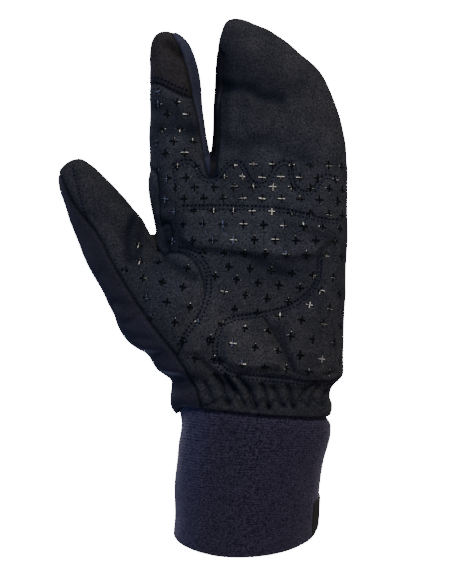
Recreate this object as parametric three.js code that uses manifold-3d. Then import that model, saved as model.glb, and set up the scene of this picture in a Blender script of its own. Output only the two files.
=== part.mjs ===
// A winter cycling mitt of the lobster claw kind, for the left hand, lying on its back with the palm up.
// The thumb and the index finger have stalls of their own and the other three fingers share one pouch.
// A soft-shell back, fork and side walls meet a suede palm, an index tip cap, a thumb face and a web strip,
// and a knit cuff with a folded tag comes out of the gathered hem. Millimetres, +Y towards the fingertips.
import * as THREE from "three";
import { mergeVertices } from "three/addons/utils/BufferGeometryUtils.js";
import Module from "manifold-3d";

const wasm = await Module();
wasm.setup();

// Sizes of the hand, from its hem to the tip of the pouch
const handLength = 216;
const palmWidth = 108;
const palmThickness = 42;
// Sizes of the index stall, from its root inside the palm to its tip
const indexLength = 130;
const indexWidth = 29;
const indexThickness = 27;
// Sizes of the thumb stall, from its root inside the palm to its tip
const thumbLength = 100;
const thumbWidth = 38;
const thumbThickness = 32;
const thumbAngle = 31.2; // degrees from the fingers, towards the thumb's side
// Sizes of the knit cuff, from the end sewn inside the hem to the rim
const cuffLength = 79;
const cuffWidth = 81;
const cuffThickness = 44;
const cuffInsert = 10;
// Walls, and the clearance that every seam keeps
const shellWall = 2;
const cuffWall = 2.4;
const seamGap = 0.3;
// Heights at which the suede and the fork panel meet the back panel on the side walls
const sideSeamHeight = 13;
const forkSeamHeight = 8;
// The folded tag on the little finger's side of the cuff
const tagLength = 20;
const tagThickness = 0.9;
const tagReachAbove = 17; // how far it wraps above and below the cuff's widest height
const tagReachBelow = 14;
const tagFromRim = 2;
// The bows of hem and rim: the hem's crest draws up, more on the thumb's side, and the rim's crest hangs lower
const hemBow = 3.9;
const hemSlant = 0.085; // extra rise for each millimetre towards the thumb
const hemBowReach = 30;
const rimBow = 2.1;
const rimDraw = 6.3; // how far the rim's two sides draw up beyond its crest
const rimCrestShare = -0.085; // where that crest is, in cuff widths from the middle
// The gathers that the elastic pulls into the palm side of the hem
const gatherCount = 12;
const gatherHeight = 2.4;
const gatherLength = 24;

// How the cross sections are shaped and sampled
const topExponent = 2.45; // exponent of the superellipse, 2 for a plain ellipse
const floorExponent = 3;
const widestShare = 0.45; // height of the widest point between floor and crown
const gatherColumnCount = 2; // columns for each gather
const floorColumnCount = 8;
// Columns that the hollow and the cuff share, so that the cuff keeps its clearance all round
const liningTopCount = 16;
const liningFloorCount = 6;
const stallTopCount = 12;
const stallFloorCount = 6;
const fineStep = 3.6; // spacing of the sections at the gathers, and beyond them
const coarseStep = 8.5;
const fineShare = 0.2;
const roundedEndShares = [0.944, 0.966, 0.984, 0.995, 1]; // shares of a stall's length at its rounded tip
const openEnd = 6; // how far the hollow runs past an open edge

// Palm, wrist and pouch, hem first: along in hand lengths, across in palm widths, heights in palm thicknesses
const handRows = [
  { along: 0.0, left: -0.376, right: 0.402, floor: 0.024, crown: 0.985 },
  { along: 0.01, left: -0.396, right: 0.41, floor: 0.018, crown: 0.995 },
  { along: 0.026, left: -0.405, right: 0.412, floor: 0.01, crown: 1.0 },
  { along: 0.041, left: -0.405, right: 0.4, floor: 0.0, crown: 0.988 },
  { along: 0.061, left: -0.4, right: 0.405, floor: 0.0, crown: 0.976 },
  { along: 0.083, left: -0.396, right: 0.438, floor: -0.012, crown: 1.0 },
  { along: 0.097, left: -0.433, right: 0.466, floor: -0.02, crown: 1.018 },
  { along: 0.11, left: -0.468, right: 0.469, floor: -0.03, crown: 1.022 },
  { along: 0.131, left: -0.494, right: 0.468, floor: -0.036, crown: 1.024 },
  { along: 0.152, left: -0.521, right: 0.467, floor: -0.036, crown: 1.024 },
  { along: 0.164, left: -0.563, right: 0.467, floor: -0.036, crown: 1.022 },
  { along: 0.179, left: -0.611, right: 0.469, floor: -0.036, crown: 1.016 },
  { along: 0.199, left: -0.645, right: 0.47, floor: -0.036, crown: 1.01 },
  { along: 0.234, left: -0.677, right: 0.474, floor: -0.036, crown: 1.0 },
  { along: 0.285, left: -0.698, right: 0.479, floor: -0.036, crown: 0.976 },
  { along: 0.331, left: -0.652, right: 0.484, floor: -0.036, crown: 0.952 },
  { along: 0.372, left: -0.56, right: 0.486, floor: -0.036, crown: 0.94 },
  { along: 0.407, left: -0.484, right: 0.489, floor: -0.036, crown: 0.929 },
  { along: 0.438, left: -0.476, right: 0.489, floor: -0.036, crown: 0.929 },
  { along: 0.484, left: -0.486, right: 0.489, floor: -0.036, crown: 0.917 },
  { along: 0.527, left: -0.502, right: 0.491, floor: -0.036, crown: 0.893 },
  { along: 0.565, left: -0.514, right: 0.491, floor: -0.036, crown: 0.857 },
  { along: 0.596, left: -0.516, right: 0.494, floor: -0.024, crown: 0.824 },
  { along: 0.612, left: -0.48, right: 0.494, floor: -0.024, crown: 0.812 },
  { along: 0.626, left: -0.36, right: 0.494, floor: -0.024, crown: 0.798 },
  { along: 0.64, left: -0.225, right: 0.491, floor: -0.012, crown: 0.786 },
  { along: 0.662, left: -0.199, right: 0.489, floor: -0.012, crown: 0.762 },
  { along: 0.703, left: -0.191, right: 0.476, floor: 0.0, crown: 0.738 },
  { along: 0.749, left: -0.186, right: 0.456, floor: 0.012, crown: 0.726 },
  { along: 0.789, left: -0.183, right: 0.428, floor: 0.036, crown: 0.714 },
  { along: 0.83, left: -0.178, right: 0.392, floor: 0.06, crown: 0.702 },
  { along: 0.871, left: -0.173, right: 0.341, floor: 0.095, crown: 0.679 },
  { along: 0.912, left: -0.168, right: 0.255, floor: 0.131, crown: 0.655 },
  { along: 0.942, left: -0.158, right: 0.183, floor: 0.167, crown: 0.631 },
  { along: 0.968, left: -0.145, right: 0.107, floor: 0.202, crown: 0.595 },
  { along: 0.985, left: -0.132, right: 0.031, floor: 0.25, crown: 0.548 },
  { along: 0.995, left: -0.118, right: -0.018, floor: 0.29, crown: 0.51 },
  { along: 1.0, left: -0.094, right: -0.048, floor: 0.345, crown: 0.455 },
];
// Index stall, root first: along, across and height in its own length, width and thickness
const indexRows = [
  { along: 0.0, left: -0.341, right: 0.379, floor: 0.333, crown: 0.95 },
  { along: 0.025, left: -0.398, right: 0.474, floor: 0.222, crown: 1.08 },
  { along: 0.076, left: -0.427, right: 0.531, floor: 0.111, crown: 1.148 },
  { along: 0.14, left: -0.446, right: 0.588, floor: 0.037, crown: 1.167 },
  { along: 0.267, left: -0.512, right: 0.607, floor: -0.037, crown: 1.185 },
  { along: 0.372, left: -0.578, right: 0.588, floor: -0.037, crown: 1.175 },
  { along: 0.432, left: -0.578, right: 0.559, floor: -0.019, crown: 1.16 },
  { along: 0.499, left: -0.578, right: 0.541, floor: 0.0, crown: 1.13 },
  { along: 0.567, left: -0.588, right: 0.493, floor: 0.019, crown: 1.093 },
  { along: 0.635, left: -0.578, right: 0.446, floor: 0.037, crown: 1.056 },
  { along: 0.702, left: -0.569, right: 0.408, floor: 0.056, crown: 1.037 },
  { along: 0.77, left: -0.569, right: 0.389, floor: 0.093, crown: 1.019 },
  { along: 0.838, left: -0.569, right: 0.341, floor: 0.13, crown: 1.0 },
  { along: 0.897, left: -0.578, right: 0.275, floor: 0.167, crown: 0.981 },
  { along: 0.939, left: -0.559, right: 0.199, floor: 0.204, crown: 0.963 },
  { along: 0.965, left: -0.522, right: 0.104, floor: 0.259, crown: 0.926 },
  { along: 0.985, left: -0.455, right: -0.009, floor: 0.333, crown: 0.852 },
  { along: 1.0, left: -0.31, right: -0.15, floor: 0.5, crown: 0.68 },
];
// Thumb stall, root first: along, across and height in its own length, width and thickness
const thumbRows = [
  { along: 0.0, left: -0.37, right: 0.2, floor: 0.28, crown: 0.9 },
  { along: 0.037, left: -0.492, right: 0.318, floor: 0.125, crown: 1.062 },
  { along: 0.103, left: -0.557, right: 0.391, floor: 0.0, crown: 1.15 },
  { along: 0.203, left: -0.543, right: 0.434, floor: -0.031, crown: 1.141 },
  { along: 0.312, left: -0.521, right: 0.449, floor: -0.031, crown: 1.109 },
  { along: 0.417, left: -0.521, right: 0.478, floor: -0.031, crown: 1.062 },
  { along: 0.516, left: -0.499, right: 0.492, floor: -0.016, crown: 1.016 },
  { along: 0.615, left: -0.453, right: 0.449, floor: 0.009, crown: 0.969 },
  { along: 0.708, left: -0.408, right: 0.413, floor: 0.037, crown: 0.922 },
  { along: 0.802, left: -0.355, right: 0.362, floor: 0.078, crown: 0.875 },
  { along: 0.89, left: -0.304, right: 0.304, floor: 0.125, crown: 0.812 },
  { along: 0.945, left: -0.24, right: 0.246, floor: 0.188, crown: 0.75 },
  { along: 0.98, left: -0.175, right: 0.19, floor: 0.26, crown: 0.67 },
  { along: 1.0, left: -0.06, right: 0.09, floor: 0.38, crown: 0.54 },
];
// Cuff outside the hem: along in cuff lengths from the sewn end, the rest in cuff widths and thicknesses
const cuffRows = [
  { along: 0.21, left: -0.462, right: 0.543, floor: 0.027, crown: 0.955 },
  { along: 0.264, left: -0.465, right: 0.54, floor: 0.011, crown: 0.975 },
  { along: 0.333, left: -0.479, right: 0.523, floor: 0.0, crown: 0.977 },
  { along: 0.417, left: -0.489, right: 0.499, floor: -0.009, crown: 0.984 },
  { along: 0.514, left: -0.498, right: 0.482, floor: -0.018, crown: 0.991 },
  { along: 0.639, left: -0.505, right: 0.465, floor: -0.018, crown: 1.0 },
  { along: 0.771, left: -0.509, right: 0.456, floor: -0.018, crown: 1.0 },
  { along: 0.903, left: -0.513, right: 0.45, floor: -0.018, crown: 1.0 },
  { along: 0.972, left: -0.516, right: 0.443, floor: -0.014, crown: 0.995 },
  { along: 1.0, left: -0.512, right: 0.437, floor: -0.005, crown: 0.98 },
];
// Pads, hollows and folds of the palm side: a soft ridge from one point to another, in palm widths, hand lengths,
// its spread in palm widths and its rise in palm thicknesses, negative for a crease
const foldRows = [
  { name: "knuckle pad", x1: -0.33, y1: 0.462, x2: 0.42, y2: 0.458, spread: 0.072, rise: 0.045 },
  { name: "crease under the knuckle pad", x1: -0.36, y1: 0.41, x2: 0.44, y2: 0.392, spread: 0.036, rise: -0.036 },
  { name: "heel pad", x1: -0.02, y1: 0.165, x2: 0.36, y2: 0.2, spread: 0.13, rise: 0.05 },
  { name: "hollow of the palm", x1: -0.05, y1: 0.31, x2: 0.1, y2: 0.32, spread: 0.15, rise: -0.045 },
  { name: "dent across the pouch", x1: -0.17, y1: 0.792, x2: 0.22, y2: 0.752, spread: 0.045, rise: -0.04 },
  { name: "dent at the pouch root", x1: 0.0, y1: 0.665, x2: 0.3, y2: 0.65, spread: 0.06, rise: -0.02 },
];
// Where the stalls are rooted in the palm, in palm widths and hand lengths
const indexRootShare = { x: -0.356, y: 0.367 };
const thumbRootShare = { x: -0.45, y: 0.2406 };

// Outlines of the panels as the palm side shows them, in palm widths and hand lengths
const webOutline = [
  [-0.459, 0.618], [-0.457, 0.558], [-0.453, 0.497], [-0.445, 0.469], [-0.424, 0.479], [-0.403, 0.473], [-0.39, 0.453],
  [-0.393, 0.426], [-0.408, 0.406], [-0.429, 0.399], [-0.468, 0.412], [-0.493, 0.435], [-0.509, 0.481], [-0.528, 0.523],
  [-0.556, 0.579], [-0.556, 0.625],
];
const palmOutline = [
  [-0.241, -0.071], [-0.243, 0.016], [-0.248, 0.04], [-0.263, 0.068], [-0.287, 0.087], [-0.325, 0.122], [-0.369, 0.156],
  [-0.38, 0.278], [-0.417, 0.37], [-0.481, 0.426], [-0.583, 0.556], [-0.583, 1.036], [0.662, 1.036], [0.662, -0.071],
];
// The fork between index and pouch: its index side in the index stall's shares, its pouch side as above
const forkIndexSide = [
  [-0.154, 1.046], [-0.064, 0.975], [0.06, 0.929], [0.133, 0.888], [0.181, 0.846], [0.219, 0.804], [0.257, 0.746],
  [0.309, 0.699], [0.364, 0.646], [0.412, 0.569], [0.443, 0.488], [0.471, 0.439], [0.515, 0.39], [0.571, 0.365],
];
const forkPouchSide = [
  [-0.186, 0.594], [-0.174, 0.612], [-0.167, 0.642], [-0.164, 0.662], [-0.16, 0.711], [-0.157, 0.789], [-0.153, 0.839],
  [-0.143, 0.902], [-0.162, 0.921], [-0.204, 0.94], [-0.259, 1.013],
];
// The index tip cap in the index stall's widths and lengths
const tipOutline = [
  [-0.812, 0.778], [-0.523, 0.772], [-0.357, 0.76], [-0.202, 0.74], [-0.019, 0.719], [0.129, 0.708], [0.309, 0.705],
  [0.498, 0.705], [0.498, 1.07], [-0.812, 1.07],
];
// The thumb face in the thumb stall's widths and lengths: side seam, arc on the palm, then round the tip outside
const thumbOutline = [
  [-0.192, 0.98], [-0.18, 0.923], [-0.21, 0.785], [-0.18, 0.68], [-0.135, 0.587], [-0.126, 0.496], [-0.148, 0.407],
  [-0.156, 0.317], [-0.151, 0.205], [-0.134, 0.042], [-0.097, -0.08], [-0.052, -0.203], [0.038, -0.198], [0.165, -0.159],
  [0.308, -0.131], [0.453, -0.11], [0.582, -0.067], [0.721, -0.015], [0.809, 0.044], [0.841, 0.117], [0.83, 0.181],
  [0.759, 0.229], [0.64, 0.27], [0.533, 0.29], [0.487, 0.333], [0.456, 0.381], [0.549, 0.488], [0.602, 0.598],
  [0.568, 0.711], [0.6, 0.888], [0.35, 1.08], [-0.145, 1.133],
];

// A table's columns as smooth functions of along: cubic pieces that never overshoot the rows
function smoothTable(rows) {
  const t = rows.map((row) => row.along);
  const slopesOf = (v) => {
    const steps = t.slice(1).map((next, i) => (v[i + 1] - v[i]) / (next - t[i]));
    return v.map((_, i) => {
      const before = steps[i - 1] ?? steps[0];
      const after = steps[i] ?? steps[steps.length - 1];
      return before * after <= 0 ? 0 : (2 * before * after) / (before + after);
    });
  };
  const columns = Object.fromEntries(
    ["left", "right", "floor", "crown"].map((key) => {
      const values = rows.map((row) => row[key]);
      return [key, { values, slopes: slopesOf(values) }];
    }),
  );
  return (along) => {
    const last = t.length - 2;
    const i = Math.min(last, Math.max(0, t.findIndex((next) => next > along) - 1));
    const k = along >= t[last + 1] ? last : i;
    const width = t[k + 1] - t[k];
    const u = THREE.MathUtils.clamp((along - t[k]) / width, 0, 1);
    const at = ({ values, slopes }) =>
      values[k] * (1 + 2 * u) * (1 - u) ** 2 + values[k + 1] * u * u * (3 - 2 * u) +
      width * (slopes[k] * u * (1 - u) ** 2 - slopes[k + 1] * u * u * (1 - u));
    return Object.fromEntries(Object.entries(columns).map(([key, column]) => [key, at(column)]));
  };
}

// One cross section in millimetres: a superellipse over its widest height, flat where it lies on the surface
function ring(section, y, topColumns, bottomColumns, inset = 0, lift = () => 0) {
  const left = section.left + inset;
  const right = section.right - inset;
  const floor = section.floor + inset;
  const crown = section.crown - inset;
  const middle = (left + right) / 2;
  const widest = floor + (crown - floor) * widestShare;
  const points = [];
  const count = topColumns + bottomColumns;
  for (let i = 0; i < count; i++) {
    const top = i <= topColumns;
    const angle = top ? Math.PI * (1 - i / topColumns) : (-Math.PI * (i - topColumns)) / bottomColumns;
    const power = 2 / (top ? topExponent : floorExponent);
    const c = Math.cos(angle);
    const s = Math.sin(angle);
    const x = middle + ((right - left) / 2) * Math.sign(c) * Math.abs(c) ** power;
    const reach = top ? crown - widest : widest - floor;
    const z = widest + reach * Math.sign(s) * Math.abs(s) ** power;
    points.push(new THREE.Vector3(x, y, Math.max(inset, z + (top ? lift(x, y, i, s) : 0))));
  }
  return points;
}

// A closed mesh through rings given in rising y, with a fan over each end
function loft(rings) {
  const count = rings[0].length;
  const positions = rings.flat().flatMap((p) => [p.x, p.y, p.z]);
  const faces = [];
  for (let j = 0; j + 1 < rings.length; j++) {
    for (let i = 0; i < count; i++) {
      const a = j * count + i;
      const b = j * count + ((i + 1) % count);
      faces.push(a, b, a + count, b, b + count, a + count);
    }
  }
  [rings[0], rings[rings.length - 1]].forEach((end, which) => {
    const centre = end.reduce((sum, p) => sum.add(p), new THREE.Vector3()).divideScalar(count);
    const hub = positions.length / 3;
    const base = which ? (rings.length - 1) * count : 0;
    positions.push(centre.x, centre.y, centre.z);
    for (let i = 0; i < count; i++) {
      const next = base + ((i + 1) % count);
      faces.push(...(which ? [hub, base + i, next] : [hub, next, base + i]));
    }
  });
  const geometry = new THREE.BufferGeometry();
  geometry.setAttribute("position", new THREE.Float32BufferAttribute(positions, 3));
  geometry.setIndex(faces);
  return geometry;
}

// How far a point of the finished mitt moves along Y, so that the hem and the rim bow as soft tubes do
function bow(x, y, z) {
  const crest = THREE.MathUtils.smoothstep(z, 0.43 * palmThickness, 0.81 * palmThickness);
  const nearHem = 1 - THREE.MathUtils.smoothstep(Math.abs(y), 0, hemBowReach);
  const sideways = (2 * x) / cuffWidth - 2 * rimCrestShare;
  const nearRim = THREE.MathUtils.smoothstep(-y, hemBowReach / 2, cuffLength - cuffInsert);
  return Math.max(0, hemBow - hemSlant * x) * crest * nearHem + (rimDraw * sideways ** 2 - rimBow) * nearRim;
}

// A three.js geometry as a manifold solid, and back
function solidOf(geometry) {
  const bare = geometry.clone();
  bare.deleteAttribute("normal");
  bare.deleteAttribute("uv");
  const merged = mergeVertices(bare, 1e-4);
  const vertProperties = new Float32Array(merged.attributes.position.array);
  return new wasm.Manifold(new wasm.Mesh({ numProp: 3, vertProperties, triVerts: new Uint32Array(merged.index.array) }));
}

function geometryOf(solid) {
  const { vertProperties, triVerts } = solid.getMesh();
  const geometry = new THREE.BufferGeometry();
  const position = new THREE.BufferAttribute(new Float32Array(vertProperties), 3);
  for (let i = 0; i < position.count; i++) {
    position.setY(i, position.getY(i) + bow(position.getX(i), position.getY(i), position.getZ(i)));
  }
  geometry.setAttribute("position", position);
  geometry.setIndex(new THREE.BufferAttribute(new Uint32Array(triVerts), 1));
  geometry.computeVertexNormals();
  return geometry;
}

// The biggest body of a cut, without the crumbs that a cut leaves
function mainBody(solid) {
  return solid.decompose().reduce((best, body) => (body.volume() > best.volume() ? body : best));
}

// Rows from a start to an end, finer below the limit, and always both ends
function stations(from, to, limit = from) {
  const list = [];
  for (let y = from; y < to - fineStep / 2; y += y < limit ? fineStep : coarseStep) list.push(y);
  return [...list, to];
}

// The same up to a rounded tip, where the rows crowd
function tippedStations(from, length, limit = from) {
  const straight = stations(from, roundedEndShares[0] * length - coarseStep / 2, limit);
  return [...straight, ...roundedEndShares.map((share) => share * length)];
}

// The rise of all pads and folds at a point of the palm side
function foldRise(x, y) {
  let rise = 0;
  for (const fold of foldRows) {
    const start = new THREE.Vector2(fold.x1 * palmWidth, fold.y1 * handLength);
    const way = new THREE.Vector2(fold.x2 * palmWidth, fold.y2 * handLength).sub(start);
    const point = new THREE.Vector2(x, y).sub(start);
    const share = THREE.MathUtils.clamp(point.dot(way) / way.lengthSq(), 0, 1);
    const off = point.distanceTo(way.multiplyScalar(share)) / (fold.spread * palmWidth);
    rise += fold.rise * palmThickness * Math.exp(-off * off);
  }
  return rise;
}

// The gathers: a ridge on every other column, dying out up the palm and towards the sides
function gatherRise(y, column, sine) {
  const fade = THREE.MathUtils.smoothstep(y, 0, gatherLength * 0.15) * (1 - THREE.MathUtils.smoothstep(y, gatherLength * 0.45, gatherLength));
  const wave = 0.5 + 0.5 * Math.cos((2 * Math.PI * column) / gatherColumnCount);
  return gatherHeight * wave * fade * Math.min(1, 2.5 * Math.max(0, sine));
}

const handAt = smoothTable(handRows);
const indexAt = smoothTable(indexRows);
const thumbAt = smoothTable(thumbRows);
const cuffAt = smoothTable(cuffRows);

function scaled(section, width, thickness) {
  const { left, right, floor, crown } = section;
  return { left: left * width, right: right * width, floor: floor * thickness, crown: crown * thickness };
}

// Palm, wrist and pouch
function handSolid(inset) {
  const inner = inset > 0;
  const shrink = 1 - inset / handLength;
  const topColumns = inner ? liningTopCount : gatherCount * gatherColumnCount;
  const bottomColumns = inner ? liningFloorCount : floorColumnCount;
  const rows = inner
    ? [0, cuffInsert / 2, ...tippedStations(cuffInsert, handLength)]
    : tippedStations(0, handLength, fineShare * handLength);
  const lift = (x, y, column, sine) =>
    (inner ? Math.min(0, foldRise(x, y)) : foldRise(x, y) + gatherRise(y, column, sine)) * sine;
  const rings = rows.map((y) =>
    ring(scaled(handAt(y / handLength), palmWidth, palmThickness), y * shrink, topColumns, bottomColumns, inset, lift));
  if (inner) {
    const mouth = ring(scaled(handAt(0), palmWidth, palmThickness), -openEnd, topColumns, bottomColumns, inset, lift);
    rings.unshift(mouth);
  }
  return solidOf(loft(rings));
}

// A finger stall in its own frame, root at the origin
function stallSolid(sectionAt, length, width, thickness, inset) {
  const shrink = 1 - inset / length;
  const rings = tippedStations(0, length).map((y) =>
    ring(scaled(sectionAt(y / length), width, thickness), y * shrink, stallTopCount, stallFloorCount, inset));
  return solidOf(loft(rings.filter((points) => points[0].x < points[stallTopCount].x)));
}

function placedIndex(inset) {
  return stallSolid(indexAt, indexLength, indexWidth, indexThickness, inset)
    .translate([indexRootShare.x * palmWidth, indexRootShare.y * handLength, 0]);
}

function placedThumb(inset) {
  return stallSolid(thumbAt, thumbLength, thumbWidth, thumbThickness, inset)
    .rotate([0, 0, thumbAngle])
    .translate([thumbRootShare.x * palmWidth, thumbRootShare.y * handLength, 0]);
}

// The cuff's section at a distance below the hem, negative where it is sewn inside the hem
function cuffSection(below) {
  const fromHem = (y) => {
    const s = scaled(handAt(y / handLength), palmWidth, palmThickness);
    const inset = shellWall + seamGap;
    return { left: s.left + inset, right: s.right - inset, floor: s.floor + inset, crown: s.crown - inset };
  };
  const first = cuffRows[0].along * cuffLength - cuffInsert;
  if (below <= 0) return fromHem(-below);
  const seen = scaled(cuffAt((below + cuffInsert) / cuffLength), cuffWidth, cuffThickness);
  const share = THREE.MathUtils.smoothstep(below, 0, Math.max(first, seamGap));
  const hem = fromHem(0);
  return Object.fromEntries(Object.keys(hem).map((key) => [key, THREE.MathUtils.lerp(hem[key], seen[key], share)]));
}

function cuffSolid(inset, above = 0) {
  const drop = cuffLength - cuffInsert;
  const stops = [...(above ? [-cuffInsert - above] : []), -cuffInsert, -cuffInsert / 2, 0, ...stations(fineStep, drop, 3 * fineStep), ...(above ? [drop + above] : [])];
  const rings = stops.reverse().map((below) => ring(cuffSection(below), -below, liningTopCount, liningFloorCount, inset));
  return solidOf(loft(rings));
}

// A panel's outline as a straight prism from a height up, optionally grown by the seam's clearance
function prism(outline, from, grow = 0) {
  const points = outline.map(([x, y]) => new THREE.Vector2(x, y));
  if (THREE.ShapeUtils.isClockWise(points)) points.reverse();
  const grown = points.map((p, i) => {
    const before = points[(i + points.length - 1) % points.length];
    const after = points[(i + 1) % points.length];
    const d1 = p.clone().sub(before).normalize();
    const d2 = after.clone().sub(p).normalize();
    const out = new THREE.Vector2(d1.y + d2.y, -d1.x - d2.x);
    return p.clone().add(out.multiplyScalar((2 * grow) / out.lengthSq()));
  });
  const depth = 2 * palmThickness;
  const geometry = new THREE.ExtrudeGeometry(new THREE.Shape(grown), { depth, bevelEnabled: false });
  geometry.translate(0, 0, from - grow);
  return solidOf(geometry);
}

const inHand = ([x, y]) => [x * palmWidth, y * handLength];
const inIndex = ([x, y]) => [x * indexWidth + indexRootShare.x * palmWidth, y * indexLength + indexRootShare.y * handLength];
const inThumb = ([x, y]) => {
  const turned = new THREE.Vector2(x * thumbWidth, y * thumbLength)
    .rotateAround(new THREE.Vector2(), THREE.MathUtils.degToRad(thumbAngle));
  return [turned.x + thumbRootShare.x * palmWidth, turned.y + thumbRootShare.y * handLength];
};

// Cut the hollow mitt into its sewn panels, each one clear of the next by the seam's clearance
const outer = handSolid(0).add(placedIndex(0)).add(placedThumb(0));
const hollow = handSolid(shellWall).add(placedIndex(shellWall)).add(placedThumb(shellWall));
let rest = outer.subtract(hollow);

function cutPanel(outline, height) {
  const panel = mainBody(rest.intersect(prism(outline, height)));
  rest = rest.subtract(prism(outline, height, seamGap));
  return panel;
}

const webStrip = cutPanel(webOutline.map(inHand), sideSeamHeight);
const forkPanel = cutPanel([...forkIndexSide.map(inIndex), ...forkPouchSide.map(inHand)], forkSeamHeight);
const indexTip = cutPanel(tipOutline.map(inIndex), sideSeamHeight);
const thumbFace = cutPanel(thumbOutline.map(inThumb), sideSeamHeight);
const palmPanel = cutPanel(palmOutline.map(inHand), sideSeamHeight);
const backPanel = mainBody(rest);

const cuffDrop = cuffLength - cuffInsert;
const cuff = cuffSolid(0).subtract(cuffSolid(cuffWall, openEnd));

// The tag hugs the side of the cuff, so it is a slice of a larger cuff less a cuff grown by the clearance
const tagMiddle = cuffThickness * widestShare;
const tagBox = new THREE.BoxGeometry(cuffWidth / 2, tagLength, tagReachAbove + tagReachBelow);
tagBox.translate(cuffWidth * 0.55, tagFromRim + tagLength / 2 - cuffDrop, tagMiddle + (tagReachAbove - tagReachBelow) / 2);
const tagShell = cuffSolid(-seamGap - tagThickness).subtract(cuffSolid(-seamGap, openEnd));
const tag = mainBody(tagShell.intersect(solidOf(tagBox)));

// Finishes: colour, roughness and metalness of each material
const suede = new THREE.MeshStandardMaterial({ color: 0x2b2b2e, roughness: 0.95, metalness: 0 });
const softShell = new THREE.MeshStandardMaterial({ color: 0x1d1f2b, roughness: 0.75, metalness: 0 });
const knit = new THREE.MeshStandardMaterial({ color: 0x2c2c42, roughness: 0.9, metalness: 0 });
const tagCloth = new THREE.MeshStandardMaterial({ color: 0x17171a, roughness: 0.8, metalness: 0 });

const panels = new THREE.Group();
function addPanel(name, solid, material) {
  const mesh = new THREE.Mesh(geometryOf(solid), material);
  mesh.name = name;
  panels.add(mesh);
}
addPanel("palm_panel", palmPanel, suede);
addPanel("thumb_face", thumbFace, suede);
addPanel("index_tip_cap", indexTip, suede);
addPanel("web_strip", webStrip, suede);
addPanel("fork_panel", forkPanel, softShell);
addPanel("back_panel", backPanel, softShell);
addPanel("knit_cuff", cuff, knit);
addPanel("cuff_tag", tag, tagCloth);

// The origin is on the surface, under the middle of the whole mitt
const bounds = new THREE.Box3().setFromObject(panels);
const middle = bounds.getCenter(new THREE.Vector3());
panels.position.set(-middle.x, -middle.y, -bounds.min.z);

const mitt = new THREE.Group();
mitt.add(panels);
export default mitt;
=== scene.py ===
import math
import bpy
import numpy as np
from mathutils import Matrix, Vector, noise
from mathutils.bvhtree import BVHTree
from mathutils.kdtree import KDTree


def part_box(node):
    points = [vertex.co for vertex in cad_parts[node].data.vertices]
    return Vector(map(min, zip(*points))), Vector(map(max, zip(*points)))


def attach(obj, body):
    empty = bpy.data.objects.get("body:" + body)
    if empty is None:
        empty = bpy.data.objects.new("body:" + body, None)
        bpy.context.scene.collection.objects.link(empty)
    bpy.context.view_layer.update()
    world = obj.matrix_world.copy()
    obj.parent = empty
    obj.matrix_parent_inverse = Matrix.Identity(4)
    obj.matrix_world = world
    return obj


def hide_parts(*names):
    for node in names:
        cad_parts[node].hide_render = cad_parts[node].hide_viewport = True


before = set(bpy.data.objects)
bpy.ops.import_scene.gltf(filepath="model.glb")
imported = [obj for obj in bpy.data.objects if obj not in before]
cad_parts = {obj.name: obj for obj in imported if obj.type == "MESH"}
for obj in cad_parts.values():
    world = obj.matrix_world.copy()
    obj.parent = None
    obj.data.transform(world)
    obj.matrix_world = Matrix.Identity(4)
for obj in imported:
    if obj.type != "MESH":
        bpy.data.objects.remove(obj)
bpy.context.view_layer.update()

mm = 0.001
rng = np.random.default_rng(7)
sceneRoot = bpy.context.scene.collection

# Forms are drawn in millimetres from the hem: +X to the little finger, +Y to the fingertips
# and +Z out of the palm. hemPoint is where that origin lies in the CAD frame.
palmLow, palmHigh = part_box("palm_panel")
hemPoint = np.array([palmHigh.x / mm - 53.35, palmLow.y / mm, 0.0])


def srgb(hexText):
    parts = [int(hexText[i:i + 2], 16) / 255 for i in (1, 3, 5)]
    return tuple(c / 12.92 if c <= 0.04045 else ((c + 0.055) / 1.055) ** 2.4 for c in parts) + (1.0,)


# camera, lights and floor

shot = {"overPoint": (-13.2, 65.45), "height": 418.0, "seenHeight": 322.85, "fromHeight": 400.0}
camData = bpy.data.cameras.new("camera")
camData.sensor_width = 36.0
camData.lens = 36.0 * shot["fromHeight"] / shot["seenHeight"]
camera = bpy.data.objects.new("camera", camData)
sceneRoot.objects.link(camera)
camera.location = Vector((
    shot["overPoint"][0] + hemPoint[0], shot["overPoint"][1] + hemPoint[1], shot["height"],
)) * mm
camData.clip_start = 0.01
camData.clip_end = 50
bpy.context.scene.camera = camera

studio = {
    "skyTint": "#e4eaff",
    "skyStrength": 0.26,
    # name: place in metres, size, watts, tint
    "lamps": {
        "keyLamp": ((0.2, 0.95, 0.8), 0.5, 30.0, "#fff8f0"),
        "fillLamp": ((-0.95, 0.1, 0.6), 0.6, 9.3, "#b8c9ff"),
        "lowLamp": ((1.0, -0.35, 0.6), 0.5, 8.0, "#fff6ee"),
    },
}
world = bpy.data.worlds.new("studio")
bpy.context.scene.world = world
world.use_nodes = True
world.node_tree.nodes["Background"].inputs[0].default_value = srgb(studio["skyTint"])
world.node_tree.nodes["Background"].inputs[1].default_value = studio["skyStrength"]
for name, (place, size, watts, tint) in studio["lamps"].items():
    lampData = bpy.data.lights.new(name, "AREA")
    lampData.size = size
    lampData.energy = watts
    lampData.color = srgb(tint)[:3]
    lamp = bpy.data.objects.new(name, lampData)
    lamp.location = place
    lamp.rotation_euler = (-Vector(place)).to_track_quat("-Z", "Y").to_euler()
    sceneRoot.objects.link(lamp)
print("studio ready")


# materials

def addNode(tree, kind, values=None, links=None, **settings):
    node = tree.nodes.new(kind)
    for key, value in settings.items():
        setattr(node, key, value)
    for key, value in (values or {}).items():
        node.inputs[key].default_value = value
    for key, source in (links or {}).items():
        tree.links.new(source, node.inputs[key])
    return node


def newMaterial(name):
    material = bpy.data.materials.new(name)
    material.use_nodes = True
    tree = material.node_tree
    tree.nodes.clear()
    return material, tree


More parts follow.
